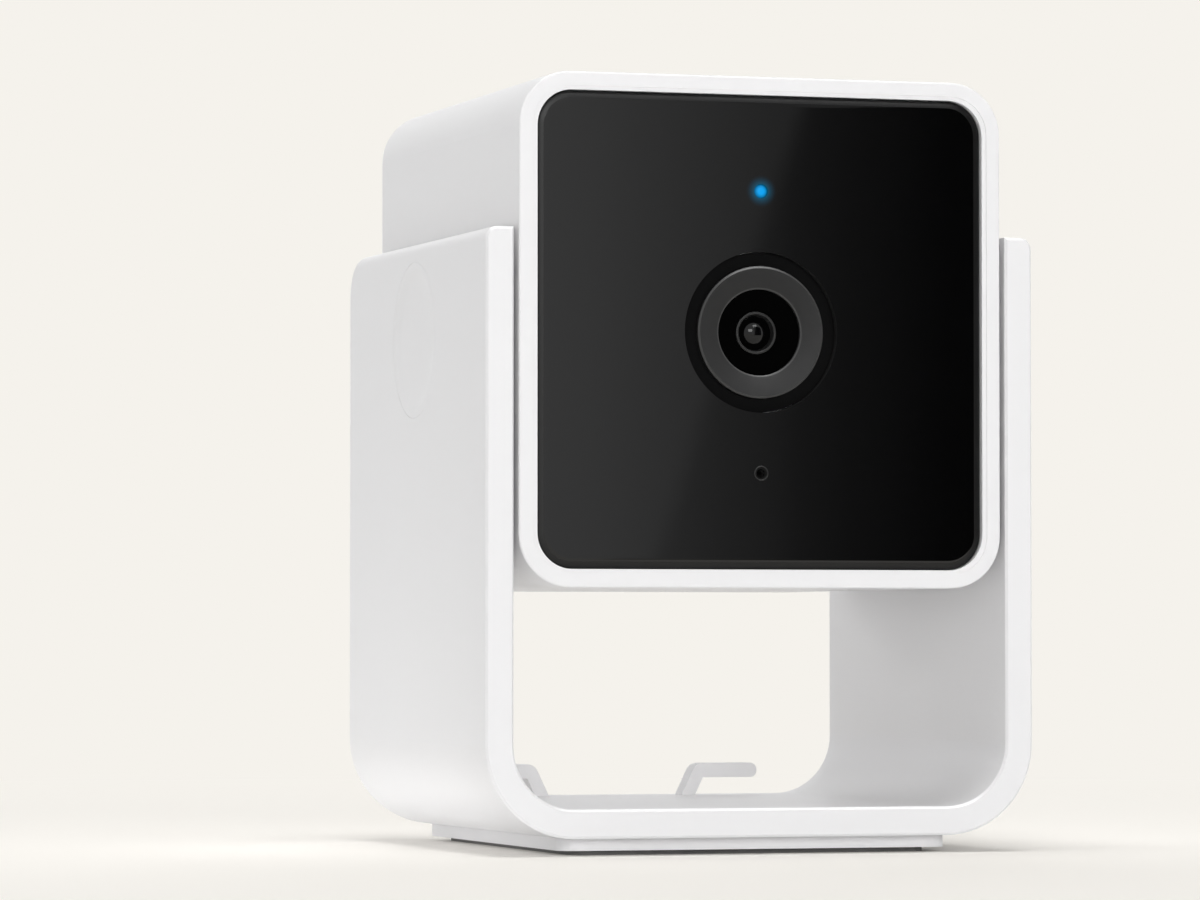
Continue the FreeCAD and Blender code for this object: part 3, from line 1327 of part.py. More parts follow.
def build_speaker():
    """Speaker with gasket, basket with three ears, cone, magnet and screws."""
    rim = S.speaker_radius
    turned_deep("speaker_gasket", [(rim - S.speaker_gasket_width, BACK_INNER), (rim, BACK_INNER),
                                   (rim, GASKET_FRONT), (rim - S.speaker_gasket_width, GASKET_FRONT)],
                height=SPEAKER_LIFT)
    body = turned_deep("speaker_frame", [
        (S.magnet_radius, SPEAKER_FRONT - S.speaker_frame_wall), (rim - S.speaker_frame_wall,
        SPEAKER_FRONT - S.speaker_frame_wall), (rim - S.speaker_frame_wall, GASKET_FRONT),
        (rim, GASKET_FRONT), (rim, SPEAKER_FRONT), (S.magnet_radius, SPEAKER_FRONT)], height=SPEAKER_LIFT)
    add_speaker_ears(body)

    edge = rim - S.speaker_frame_wall - S.press_clearance
    thick = S.cone_thickness
    front = GASKET_FRONT + S.cone_depth
    turned_deep("speaker_cone", [(0, front), (S.dome_radius, front), (edge, GASKET_FRONT + thick),
                                 (edge, GASKET_FRONT), (S.dome_radius, front - thick),
                                 (S.dome_radius / 2, front - 2 * thick), (0, front - 2 * thick)],
                height=SPEAKER_LIFT)
    magnet_back = GASKET_FRONT + S.cone_depth
    plug = S.magnet_radius - S.press_clearance
    turned_deep("speaker_magnet", [(0, magnet_back), (S.dome_radius, magnet_back),
                                   (S.dome_radius, SPEAKER_FRONT - S.speaker_frame_wall),
                                   (plug, SPEAKER_FRONT - S.speaker_frame_wall),
                                   (plug, SPEAKER_FRONT + S.magnet_depth),
                                   (0, SPEAKER_FRONT + S.magnet_depth)], height=SPEAKER_LIFT)
    screws = [pan_screw(f"speaker_screw_{number}", x, z, SPEAKER_FRONT, S.pilot_radius,
                        S.board_screw_head, S.board_screw_head_height,
                        S.speaker_ear_thickness + S.speaker_screw_length)
              for number, (x, z) in enumerate(speaker_posts())]
    group("speaker_screws", screws)


def add_speaker_ears(body):
    """Three round ears on the basket, each with its screw hole."""
    places = [(x, z - SPEAKER_LIFT) for x, z in speaker_posts()]
    sketch = sketch_on(body, "XZ_Plane", EAR_BACK)
    for x, z in places:
        circle(sketch, x, z, S.speaker_ear_radius)
    pad(body, sketch, S.speaker_ear_thickness)
    share = (S.speaker_radius + S.speaker_ear_reach / 2) / EAR_CIRCLE
    for x, z in places:
        sketch = sketch_on(body, "XZ_Plane", EAR_BACK)
        circle(sketch, x * share, z * share, S.speaker_ear_radius)
        pad(body, sketch, S.speaker_ear_thickness)
    sketch = sketch_on(body, "XZ_Plane", SPEAKER_FRONT)
    for x, z in places:
        circle(sketch, x, z, S.pilot_radius + S.press_clearance)
    pocket(body, sketch, S.speaker_ear_thickness)


def build_rear_board():
    """The small board at the back with the power socket and the reset switch."""
    body = new_body("rear_board")
    half_x, half_z = REAR_POST_X + S.rear_board_margin, S.rear_board_height / 2
    sketch = sketch_on(body, "XZ_Plane", REAR_BOARD_BACK)
    rectangle(sketch, -half_x, half_x, -S.inlet_drop - half_z, -S.inlet_drop + half_z)
    pad(body, sketch, S.rear_board_thickness)
    sketch = sketch_on(body, "XZ_Plane", REAR_BOARD_FRONT)
    for x, z in rear_posts():
        circle(sketch, x, z, S.pilot_radius + S.press_clearance)
    pocket(body, sketch, S.rear_board_thickness)
    screws = [pan_screw(f"rear_board_screw_{number}", x, z, REAR_BOARD_FRONT, S.pilot_radius,
                        S.board_screw_head, S.board_screw_head_height,
                        S.rear_board_thickness + S.rear_screw_length)
              for number, (x, z) in enumerate(rear_posts())]
    group("rear_board_screws", screws)
    build_power_socket()
    build_reset_switch()


def build_power_socket():
    """The power socket: a metal shell with its mouth to the back and a flat tongue inside."""
    body = new_body("power_socket", height=-S.inlet_drop)
    half_x, half_z = S.socket_width / 2, S.socket_height / 2
    bevel = half_z / 2
    sketch = sketch_on(body, "XZ_Plane", SOCKET_MOUTH)
    outline(sketch, [(-half_x + bevel, -half_z), (half_x - bevel, -half_z), (half_x, -half_z + bevel),
                     (half_x, half_z), (-half_x, half_z), (-half_x, -half_z + bevel)])
    pad(body, sketch, S.socket_length)
    wide, high = half_x - S.socket_shell, half_z - S.socket_shell
    sketch = sketch_on(body, "XZ_Plane", SOCKET_MOUTH)
    outline(sketch, [(-wide + bevel, -high), (wide - bevel, -high), (wide, -high + bevel),
                     (wide, high), (-wide, high), (-wide, -high + bevel)])
    pocket(body, sketch, S.socket_cavity, reverse=True)
    half_tongue = S.tongue_width / 2
    sketch = sketch_on(body, "XZ_Plane", SOCKET_MOUTH + S.socket_shell)
    rectangle(sketch, -half_tongue, half_tongue, 0, S.tongue_height)
    pad(body, sketch, S.socket_cavity - S.socket_shell)


def build_reset_switch():
    """The reset switch on the rear board and the button that presses it through the back wall."""
    half = S.switch_width / 2
    body = new_body("reset_switch", S.button_offset, -S.inlet_drop)
    sketch = sketch_on(body, "XZ_Plane", REAR_BOARD_BACK)
    rectangle(sketch, -half, half, -half, half)
    plunger_end = BACK_INNER + S.button_flange_thickness + S.button_stop_gap + S.button_travel \
        + S.button_stop_gap
    pad(body, sketch, S.switch_height, reverse=True)
    sketch = sketch_on(body, "XZ_Plane", REAR_BOARD_BACK - S.switch_height)
    circle(sketch, 0, 0, S.switch_plunger)
    pad(body, sketch, REAR_BOARD_BACK - S.switch_height - plunger_end, reverse=True)

    flange_back = BACK_INNER + S.button_stop_gap
    flange_front = flange_back + S.button_flange_thickness
    face = BACK_OUTER + S.button_set_back
    turned_deep("reset_button", [(0, face), (S.button_radius, face), (S.button_radius, flange_back),
                                 (S.button_flange, flange_back), (S.button_flange, flange_front),
                                 (0, flange_front)], S.button_offset, -S.inlet_drop)


# ---------------------------------------------------------------- antenna and leads

def arc_route(points):
    """Straight runs joined by tangent arcs, each as large as its two runs allow."""
    edges = []
    last = points[0]
    for before, corner, after in zip(points, points[1:], points[2:]):
        inward, outward = corner - before, after - corner
        turn = inward.getAngle(outward)
        reach = 0.45 * min(inward.Length, outward.Length)
        start = corner - inward.normalize() * reach
        end = corner + outward.normalize() * reach
        chord_middle = (start + end) * 0.5
        radius = reach / math.tan(turn / 2)
        centre = corner + (chord_middle - corner).normalize() * (radius / math.cos(turn / 2))
        middle = centre + (corner - centre).normalize() * radius
        edges.append(Part.LineSegment(last, start).toShape())
        edges.append(Part.Arc(start, middle, end).toShape())
        last = end
    edges.append(Part.LineSegment(last, points[-1]).toShape())
    return Part.Wire(edges)


def lead(name, radius, places):
    """A round lead swept along its route; places are (across, depth, height)."""
    points = [FreeCAD.Vector(as_size(x).value, -as_size(depth).value, as_size(height).value)
              for x, depth, height in places]
    route = arc_route(points)
    heading = points[1] - points[0]
    section = Part.Wire([Part.Circle(points[0], heading, radius.value).toShape()])
    piece = DOC.addObject("Part::Feature", name)
    piece.Shape = route.makePipeShell([section], True, True)
    seat(piece)
    NODES.append(piece)


def build_leads():
    """Antenna on the shell's inner top, and the leads to the connectors in the web's window."""
    top = SHELL_INNER_Z
    antenna_back = BACK_INNER + S.antenna_setback
    antenna_front = antenna_back + S.antenna_length
    block("radio_antenna", -S.antenna_width / 2, S.antenna_width / 2, antenna_back, antenna_front,
          top - S.antenna_thickness, top)
    left, middle, right = connector_places()
    plug = BOARD_BACK - S.connector_depth
    level = -WINDOW_LEVEL
    straight, slack, lane = S.lead_straight, S.lead_slack, S.lead_lane
    halfway = (plug + REAR_BOARD_FRONT) / 2
    lead("power_lead", S.lead_radius, [
        (middle, REAR_BOARD_FRONT, -S.inlet_drop), (middle, REAR_BOARD_FRONT + straight, -S.inlet_drop),
        (middle + slack, halfway, level), (middle, plug - straight, level), (middle, plug, level)])
    terminal_x, terminal_z = S.speaker_radius - slack, SPEAKER_LIFT - S.speaker_terminal_drop
    lead("speaker_lead", S.lead_radius, [
        (terminal_x, SPEAKER_FRONT, terminal_z), (terminal_x, SPEAKER_FRONT + straight, terminal_z),
        (terminal_x + slack, halfway, level / 2), (right, plug - straight, level), (right, plug, level)])
    antenna_x = -S.antenna_width / 2 + 2 * S.coax_radius
    antenna_z = top - S.antenna_thickness / 2 - S.coax_radius
    side = -(CHASSIS_SIDE - S.chassis_wall - lane)
    behind = (antenna_front + CHASSIS_BACK) / 2
    lead("antenna_lead", S.coax_radius, [
        (antenna_x, antenna_front, antenna_z), (antenna_x, behind, antenna_z),
        (side, behind, top / 2), (side, behind, -lane), (left - lane, -lane, level),
        (left, plug - straight, level), (left, plug, level)])


# ---------------------------------------------------------------- the whole camera

def check_document():
    """Stop if any object failed or any sub-part has no valid shape."""
    for thing in DOC.Objects:
        if "Invalid" in thing.State or "Error" in thing.State:
            raise RuntimeError(thing.Name + " failed: " + str(thing.State))
    for node in NODES:
        if node.Shape.isNull() or not node.Shape.isValid():
            raise RuntimeError(node.Label + " has no valid shape")


def export_nodes():
    """Write one STEP file for each sub-part."""
    os.makedirs("parts", exist_ok=True)
    for node in NODES:
        node.Shape.exportStep(f"parts/{node.Label}.step")


def build_all():
    """Build every sub-part, check the document and write the files."""
    build_stand_bracket()
    build_foot()
    for side, word in ((1, "right"), (-1, "left")):
        build_tilt_joint(side, word)
    build_head_shell()
    build_front_frame()
    build_front_panel()
    build_lens()
    build_lens_holder()
    build_filter()
    build_chassis()
    build_frame_screws()
    build_main_board()
    build_front_board()
    build_speaker()
    build_rear_board()
    build_leads()
    DOC.recompute()
    check_document()
    export_nodes()
    print(len(NODES), "sub-parts written")


build_all()
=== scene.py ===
"""The looks of a small indoor camera: a cube head that tilts between the two arms of a U stand.

Lengths are metres in the row frame: X to the right, -Y the way the head faces, Z up from the floor.
Most solids keep their own mesh and get a finish here.  Seven are shown by finer meshes that are
made here, and five small pieces are added to them.
"""

from math import cos, pi, radians, sin

import bmesh
import bpy
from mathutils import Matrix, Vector


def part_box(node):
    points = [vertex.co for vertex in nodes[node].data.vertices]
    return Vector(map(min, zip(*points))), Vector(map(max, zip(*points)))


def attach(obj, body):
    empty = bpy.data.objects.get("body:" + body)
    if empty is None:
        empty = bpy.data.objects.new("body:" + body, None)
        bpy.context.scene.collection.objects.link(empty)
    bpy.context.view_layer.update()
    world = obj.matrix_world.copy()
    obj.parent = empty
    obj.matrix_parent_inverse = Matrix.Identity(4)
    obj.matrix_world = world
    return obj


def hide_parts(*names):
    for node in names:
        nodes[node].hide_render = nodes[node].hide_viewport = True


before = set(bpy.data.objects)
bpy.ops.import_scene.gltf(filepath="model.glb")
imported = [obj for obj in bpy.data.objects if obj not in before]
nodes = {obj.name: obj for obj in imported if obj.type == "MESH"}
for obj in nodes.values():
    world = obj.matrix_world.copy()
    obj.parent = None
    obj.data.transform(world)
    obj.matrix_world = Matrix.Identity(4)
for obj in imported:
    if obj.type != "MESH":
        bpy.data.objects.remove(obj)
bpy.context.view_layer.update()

MM = 0.001

# Sockets of a Mix node by number, because their names repeat.
MIX_FACTOR = 0
COLOUR_A, COLOUR_B, COLOUR_OUT = 6, 7, 2
FLOAT_A, FLOAT_B, FLOAT_OUT = 2, 3, 0


# ---------------------------------------------------------------- finishes

WHITE = (0.870, 0.864, 0.868)
NOISE_LOW, NOISE_HIGH = 0.3, 0.7               # nearly all values of a noise lie between these


class Finish:
    """One material, built round a Principled shader and textured in the object's own metres."""

    def __init__(self, name, colour, roughness, **values):
        self.material = bpy.data.materials.new(name)
        self.material.use_nodes = True
        self.tree = self.material.node_tree
        self.shader = self.tree.nodes["Principled BSDF"]
        self.colour = (*colour, 1.0)
        self.roughness = roughness
        self.place = self.node("ShaderNodeTexCoord").outputs["Object"]
        self.bump = None
        self.set("Base Color", self.colour)
        self.set("Roughness", roughness)
        for socket, value in values.items():
            self.set(socket.replace("_", " "), value)

    def set(self, socket, value):
        self.shader.inputs[socket].default_value = value

    def node(self, kind, inputs=(), **attributes):
        made = self.tree.nodes.new(kind)
        for name, value in attributes.items():
            setattr(made, name, value)
        for socket, value in dict(inputs).items():
            if isinstance(value, bpy.types.NodeSocket):
                self.tree.links.new(value, made.inputs[socket])
            else:
                made.inputs[socket].default_value = value
        return made

    def noise(self, size, detail=2.0, stretch=(1.0, 1.0, 1.0)):
        """A cloudy value from 0 to 1 whose blotches are about size metres across."""
        scaled = self.node("ShaderNodeMapping", {"Vector": self.place, "Scale": stretch})
        return self.node("ShaderNodeTexNoise",
                         {"Vector": scaled.outputs["Vector"], "Scale": 1.0 / size,
                          "Detail": detail}).outputs["Fac"]

    def mottle(self, size, share):
        """The colour drifts by share of its value either way."""
        darker = [c * (1.0 - share) for c in self.colour[:3]] + [1.0]
        lighter = [min(c * (1.0 + share), 1.0) for c in self.colour[:3]] + [1.0]
        blend = self.node("ShaderNodeMix",
                          {MIX_FACTOR: self.noise(size), COLOUR_A: darker, COLOUR_B: lighter},
                          data_type="RGBA")
        self.tree.links.new(blend.outputs[COLOUR_OUT], self.shader.inputs["Base Color"])
        return self

    def polish(self, size, share):
        """The roughness drifts by share of its value either way."""
        low, high = self.roughness * (1.0 - share), self.roughness * (1.0 + share)
        spread = self.node("ShaderNodeMapRange",
                           {"Value": self.noise(size), "From Min": NOISE_LOW,
                            "From Max": NOISE_HIGH, "To Min": low, "To Max": min(high, 1.0)})
        self.tree.links.new(spread.outputs["Result"], self.shader.inputs["Roughness"])
        return self

    def relief(self, height, depth, strength=1.0):
        """Adds a bump of depth metres, driven by a value from 0 to 1."""
        inputs = {"Height": height, "Distance": depth, "Strength": strength}
        if self.bump is not None:
            inputs["Normal"] = self.bump
        self.bump = self.node("ShaderNodeBump", inputs).outputs["Normal"]
        self.tree.links.new(self.bump, self.shader.inputs["Normal"])
        return self

    def grain(self, size, depth, detail=2.0, stretch=(1.0, 1.0, 1.0)):
        """A bump of depth metres whose grains are about size metres across."""
        return self.relief(self.noise(size, detail, stretch), depth)


def moulded(name, colour, roughness, **values):
    """Injection-moulded plastic: fine spark grain over a faint, wider flow of the surface."""
    finish = Finish(name, colour, roughness, **values)
    finish.mottle(9 * MM, 0.012).polish(4 * MM, 0.10)
    return finish.grain(0.18 * MM, 0.004 * MM).grain(6 * MM, 0.02 * MM)


def smooth_white(name, roughness):
    """White plastic from a polished mould: no grain, only a faint drift of the gloss."""
    return Finish(name, WHITE, roughness).polish(12 * MM, 0.06)


def metal(name, colour, roughness, stretch=(1.0, 1.0, 1.0)):
    """Plated or turned metal with fine tool marks along one way."""
    finish = Finish(name, colour, roughness, Metallic=1.0)
    finish.mottle(1.5 * MM, 0.06).polish(0.6 * MM, 0.25)
    return finish.grain(0.12 * MM, 0.002 * MM, 3.0, stretch)


def rubber(name, colour, roughness):
    """Soft rubber or foam: matt, with a close open grain."""
    finish = Finish(name, colour, roughness)
    finish.mottle(2 * MM, 0.15).polish(1 * MM, 0.08)
    return finish.grain(0.15 * MM, 0.02 * MM, 3.0)


def board(name, colour, track_colour):
    """A circuit board: solder mask over raised copper tracks."""
    finish = Finish(name, colour, 0.32, Coat_Weight=0.5, Coat_Roughness=0.12)
    tracks = finish.node("ShaderNodeTexBrick",
                         {"Vector": finish.place, "Scale": 1.0, "Brick Width": 2.4 * MM,
                          "Row Height": 0.7 * MM, "Mortar Size": 0.08 * MM,
                          "Color1": (0.0, 0.0, 0.0, 1.0), "Color2": (0.1, 0.1, 0.1, 1.0),
                          "Mortar": (1.0, 1.0, 1.0, 1.0)})
    blend = finish.node("ShaderNodeMix",
                        {MIX_FACTOR: tracks.outputs["Color"], COLOUR_A: finish.colour,
                         COLOUR_B: (*track_colour, 1.0)},
                        data_type="RGBA")
    finish.tree.links.new(blend.outputs[COLOUR_OUT], finish.shader.inputs["Base Color"])
    finish.polish(1.2 * MM, 0.15)
    return finish.relief(tracks.outputs["Fac"], 0.03 * MM).grain(0.2 * MM, 0.003 * MM)


def glow(finish, colour, near, far, strength, power):
    """Light round the status lamp's middle: full strength up to near, then down to none at far."""
    low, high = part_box("light_pipe")
    centre = (low + high) / 2
    away = finish.node("ShaderNodeVectorMath",
                       {0: finish.place, 1: (centre.x, low.y, centre.z)}, operation="DISTANCE")
    share = finish.node("ShaderNodeMapRange",
                        {"Value": away.outputs["Value"], "From Min": near, "From Max": far,
                         "To Min": 1.0, "To Max": 0.0})
    fall = finish.node("ShaderNodeMath", {0: share.outputs["Result"], 1: power}, operation="POWER")
    light = finish.node("ShaderNodeMath", {0: fall.outputs["Value"], 1: strength},
                        operation="MULTIPLY")
    finish.set("Emission Color", (*colour, 1.0))
    finish.tree.links.new(light.outputs["Value"], finish.shader.inputs["Emission Strength"])
    return finish


def panel_finish():
    """Deep gloss black with the status light's glow spreading a little way inside it."""
    finish = Finish("panel_black", (0.0010, 0.0010, 0.0011), 0.03, IOR=1.5)
    finish.mottle(5 * MM, 0.2).polish(7 * MM, 0.3).grain(9 * MM, 0.002 * MM)
    return glow(finish, (0.0, 0.54, 1.0), 0.7 * MM, 1.8 * MM, 0.13, 2.2)


def glass(name, tint):
    """Clear optical glass with a barely uneven surface."""
    finish = Finish(name, tint, 0.0, Transmission_Weight=1.0, IOR=1.52)
    return finish.grain(3 * MM, 0.0004 * MM)


def turned_plastic(name, colour, roughness, level):
    """Matt plastic turned about the lens axis: faint rings follow the tool."""
    finish = Finish(name, colour, roughness, Specular_IOR_Level=level)
    finish.mottle(1.2 * MM, 0.06).polish(0.8 * MM, 0.08)
    tool_step = 0.09 * MM
    low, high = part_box("lens_ring")
    out = finish.node("ShaderNodeVectorMath",
                      {0: finish.place, 1: (low + high) / 2}, operation="SUBTRACT")
    flat = finish.node("ShaderNodeVectorMath",
                       {0: out.outputs["Vector"], 1: (1.0, 0.0, 1.0)}, operation="MULTIPLY")
    reach = finish.node("ShaderNodeVectorMath", {0: flat.outputs["Vector"]}, operation="LENGTH")
    turns = finish.node("ShaderNodeMath", {0: reach.outputs["Value"], 1: tool_step},
                        operation="PINGPONG")
    rings = finish.node("ShaderNodeMath", {0: turns.outputs["Value"], 1: tool_step},
                        operation="DIVIDE")
    return finish.relief(rings.outputs["Value"], 0.0015 * MM).grain(0.12 * MM, 0.003 * MM)


FINISHES = {
    "stand_white": smooth_white("stand_white", 0.33),
    "head_white": smooth_white("head_white", 0.33),
    "frame_white": smooth_white("frame_white", 0.33),
    "foot_white": smooth_white("foot_white", 0.45),
    "panel_black": panel_finish(),
    "well_black": moulded("well_black", (0.0056, 0.0056, 0.0057), 0.6, Specular_IOR_Level=0.01),
    "ring_grey": turned_plastic("ring_grey", (0.020, 0.020, 0.0202), 0.5, 0.22),
    "barrel_black": turned_plastic("barrel_black", (0.0014, 0.0014, 0.0014), 0.7, 0.0),
    "lens_glass": glass("lens_glass", (0.92, 0.95, 0.98)),
    "filter_glass": glass("filter_glass", (0.75, 0.85, 0.9)),
    "light_blue": glow(moulded("light_blue", (0.002, 0.01, 0.015), 0.36, Specular_IOR_Level=0.1),
                       (0.0, 0.37, 0.89), 0.30 * MM, 0.82 * MM, 0.98, 0.85),
    "pad_rubber": rubber("pad_rubber", (0.20, 0.196, 0.19), 0.8),
    "steel": metal("steel", (0.56, 0.56, 0.57), 0.38),
    "brass": metal("brass", (0.80, 0.58, 0.28), 0.32),
    "gasket_rubber": rubber("gasket_rubber", (0.02, 0.02, 0.02), 0.85),
    "chassis_grey": moulded("chassis_grey", (0.09, 0.09, 0.095), 0.5),
    "board_green": board("board_green", (0.008, 0.07, 0.022), (0.02, 0.14, 0.05)),
    "board_black": board("board_black", (0.006, 0.006, 0.006), (0.02, 0.02, 0.02)),
    "chip_black": moulded("chip_black", (0.012, 0.012, 0.013), 0.5),
    "connector_white": moulded("connector_white", (0.72, 0.69, 0.62), 0.45),
    "thermal_grey": rubber("thermal_grey", (0.32, 0.34, 0.38), 0.75),
    "aluminium": metal("aluminium", (0.78, 0.79, 0.80), 0.35, (1.0, 12.0, 12.0)),
    "flex_amber": moulded("flex_amber", (0.42, 0.17, 0.03), 0.3),
    "lead_jacket": rubber("lead_jacket", (0.03, 0.03, 0.032), 0.55),
    "cone_paper": rubber("cone_paper", (0.05, 0.048, 0.045), 0.85),
    "button_grey": moulded("button_grey", (0.42, 0.42, 0.42), 0.45),
}

for node in nodes.values():
    for slot in node.material_slots:
        slot.material = FINISHES[slot.material.name.split(".")[0]].material

# Finishes for pieces and edges made below, whose colour and gloss differ from the slot's.
RIM_GREY = turned_plastic("rim_grey", (0.016, 0.016, 0.016), 0.34, 0.35)
# Lighter than the ring's face, for the ring's bevels: a painted highlight. Their gloss also catches
# the lamps.
EDGE_HIGHLIGHT_GREY = turned_plastic("edge_highlight_grey", (0.032, 0.032, 0.032), 0.42, 0.5)
# Lighter than the well's floor, for the well's wall: painted light on the wall's shade.
WELL_WALL_PAINTED_LIGHT = moulded("well_wall", (0.022, 0.022, 0.022), 0.6, Specular_IOR_Level=0.01)
PANEL_EDGE = Finish("panel_edge", (0.0010, 0.0010, 0.0011), 0.34, Specular_IOR_Level=0.40)
PANEL_EDGE.mottle(3 * MM, 0.1).grain(0.8 * MM, 0.0006 * MM)
DARK_GLASS = Finish("dark_glass", (0.0020, 0.0020, 0.0022), 0.045, IOR=1.62,
                    Specular_IOR_Level=0.25)
DARK_GLASS.mottle(1.0 * MM, 0.3).polish(2 * MM, 0.2).grain(2 * MM, 0.0003 * MM)


# ---------------------------------------------------------------- pieces made as meshes

SHARP = radians(28.0)                          # edges that bend more than this stay sharp
POLE = 1e-7                                    # a ring smaller than this is a single point
DIGITS = 7                                     # depths are compared to a tenth of a micrometre


def finished_mesh(name, mesh_tool, finish, body, replaced=()):
    """The object for a filled bmesh: smooth but for sharp edges, dressed, and riding on body."""
    bmesh.ops.recalc_face_normals(mesh_tool, faces=mesh_tool.faces)
    for face in mesh_tool.faces:
        face.smooth = True
    for edge in mesh_tool.edges:
        if edge.calc_face_angle(0.0) > SHARP:
            edge.smooth = False
    mesh = bpy.data.meshes.new(name)
    mesh_tool.to_mesh(mesh)
    mesh_tool.free()
    made = bpy.data.objects.new(name, mesh)
    bpy.context.scene.collection.objects.link(made)
    mesh.materials.append(finish.material)
    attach(made, body)
    if replaced:
        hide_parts(*replaced)
    return made


def softened(corners, steps=6):
    """The points of an outline given as (a, b, round) corners: each round corner becomes an arc."""
    points = []
    for index, (a, b, round_by) in enumerate(corners):
        here = Vector((a, b))
        if not round_by:
            points.append(here)
            continue
        before = Vector(corners[index - 1][:2]) - here
        after = Vector(corners[(index + 1) % len(corners)][:2]) - here
        before.normalize()
        after.normalize()
        half = before.angle(after) / 2
        inward = (before + after).normalized()
        first = (before * cos(half) - inward).normalized()
        last = (after * cos(half) - inward).normalized()
        centre = here + inward * (round_by / sin(half))
        points += [centre + first.slerp(last, step / steps) * round_by for step in range(steps + 1)]
    return points


def bridge(mesh_tool, loops, closed):
    """Skins rings of vertices in order; a ring of one vertex is a pole."""
    pairs = list(zip(loops, loops[1:]))
    if closed:
        pairs.append((loops[-1], loops[0]))
    for one, other in pairs:
        count = max(len(one), len(other))
        for index in range(count):
            after = (index + 1) % count
            corners = [one[index % len(one)], one[after % len(one)],
                       other[after % len(other)], other[index % len(other)]]
            mesh_tool.faces.new(list(dict.fromkeys(corners)))


def turned(name, points, centre, finish, body, replaced=(), axis="Y", closed=True, turns=128):
    """A piece turned about an axis through centre: points are (radius, place along the axis)."""
    mesh_tool = bmesh.new()
    loops = []
    for radius, along in points:
        loop = []
        for step in range(turns if radius > POLE else 1):
            angle = 2 * pi * step / turns
            across, up = radius * cos(angle), radius * sin(angle)
            if axis == "Y":
                spot = (centre.x + across, along, centre.z + up)
            else:
                spot = (along, centre.y + across, centre.z + up)
            loop.append(mesh_tool.verts.new(spot))
        loops.append(loop)
    bridge(mesh_tool, loops, closed)
    return finished_mesh(name, mesh_tool, finish, body, replaced)


def middle(node):
    low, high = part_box(node)
    return (low + high) / 2


LENS = middle("lens_ring")
LENS_STEP = 0.02 * MM                          # small step between the faces at the front lens


def make_ring():
    """The grey ring round the lens: a shallow dish whose outer and inner edges are bevelled."""
    low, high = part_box("lens_ring")
    outer, front, back = (high.x - low.x) / 2, low.y, high.y
    bore, seat_radius = 4.5 * MM, 5.5 * MM
    dish, shoulder = front + 0.45 * MM, front + 0.95 * MM
    bevel, rim = 0.20 * MM, 0.16 * MM
    drop = 0.7                                 # a bevel's depth as a share of its width
    steep, shallow = -0.9, -0.5                # how far a bevel's faces look to the front
    points = [(outer, back), (outer, front + drop * bevel), (outer - bevel, front),
              (bore + rim, dish), (bore, dish + drop * rim), (bore, shoulder),
              (seat_radius, shoulder), (seat_radius, back)]
    ring = turned("lens_ring_turned", points, LENS, FINISHES["ring_grey"], "head",
                  ["lens_ring"], turns=192)
    # The bevels take the lighter edge grey, a painted highlight.
    ring.data.materials.append(EDGE_HIGHLIGHT_GREY.material)
    for face in ring.data.polygons:
        face.material_index = int(steep < face.normal.y < shallow)


def make_barrel():
    """The barrel's cone and stepped tube, and in it the retainer, the domed glass and its shade."""
    low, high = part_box("lens_barrel")
    front, back = low.y, high.y
    glass_low, glass_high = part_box("front_lens")
    seat = glass_high.y + LENS_STEP
    flange_back, cone_back = front + 1.2 * MM, front + 0.72 * MM
    tube_back, throat_back = cone_back + 0.6 * MM, seat + 0.8 * MM
    corners = [(2.2, back, 0), (4.0, back, 0.1), (4.0, flange_back, 0), (5.4, flange_back, 0),
               (5.4, front, 0.1), (4.25, front, 0.08), (2.26, cone_back, 0), (2.26, tube_back, 0),
               (1.75, tube_back, 0), (1.75, seat, 0), (1.45, seat, 0), (1.45, throat_back, 0),
               (2.2, throat_back, 0)]
    corners = [(radius * MM, along, round_by * MM) for radius, along, round_by in corners]
    turned("lens_barrel_turned", softened(corners), LENS, FINISHES["barrel_black"],
           "head", ["lens_barrel"])
    rim, foot = cone_back - 0.22 * MM, cone_back + 0.58 * MM
    corners = [(2.22, foot, 0), (2.22, rim, 0.07), (1.96, rim, 0.05), (1.74, rim + 0.70 * MM, 0),
               (1.74, foot, 0)]
    corners = [(radius * MM, along, round_by * MM) for radius, along, round_by in corners]
    turned("lens_retainer", softened(corners), LENS, RIM_GREY, "head")
    crown, dome, spread, steps = glass_low.y, 2.6 * MM, radians(26.0), 14
    arc = [(dome * sin(spread * step / steps), crown + dome * (1 - cos(spread * step / steps)))
           for step in range(steps + 1)]
    flange = arc[-1][1] + LENS_STEP
    points = arc + [(1.16 * MM, flange), (1.70 * MM, flange), (1.70 * MM, glass_high.y),
                    (0.0, glass_high.y)]
    turned("front_lens_domed", points, LENS, DARK_GLASS, "head", ["front_lens"],
           closed=False, turns=96)
    shade_back = flange - LENS_STEP
    shade_front = shade_back - 0.09 * MM
    points = [(1.17 * MM, shade_back), (1.74 * MM, shade_back), (1.74 * MM, shade_front),
              (1.20 * MM, shade_front)]
    turned("lens_shade", points, LENS, FINISHES["barrel_black"], "head", turns=96)


def make_light():
    """The status light's pipe with a slightly domed end."""
    low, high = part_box("light_pipe")
    collar, radius = (high.x - low.x) / 2, 0.71 * MM
    dome_foot, step = low.y + 0.2 * MM, low.y + 1.4 * MM
    points = [(0.0, low.y), (0.30 * MM, low.y + 0.012 * MM), (0.50 * MM, low.y + 0.045 * MM),
              (0.64 * MM, low.y + 0.11 * MM), (radius, dome_foot), (radius, step), (collar, step),
              (collar, high.y), (0.0, high.y)]
    turned("light_pipe_domed", points, middle("light_pipe"), FINISHES["light_blue"],
           "head", ["light_pipe"], closed=False, turns=64)


SINK_DEPTH = 0.2 * MM                          # of the countersink of the microphone's hole


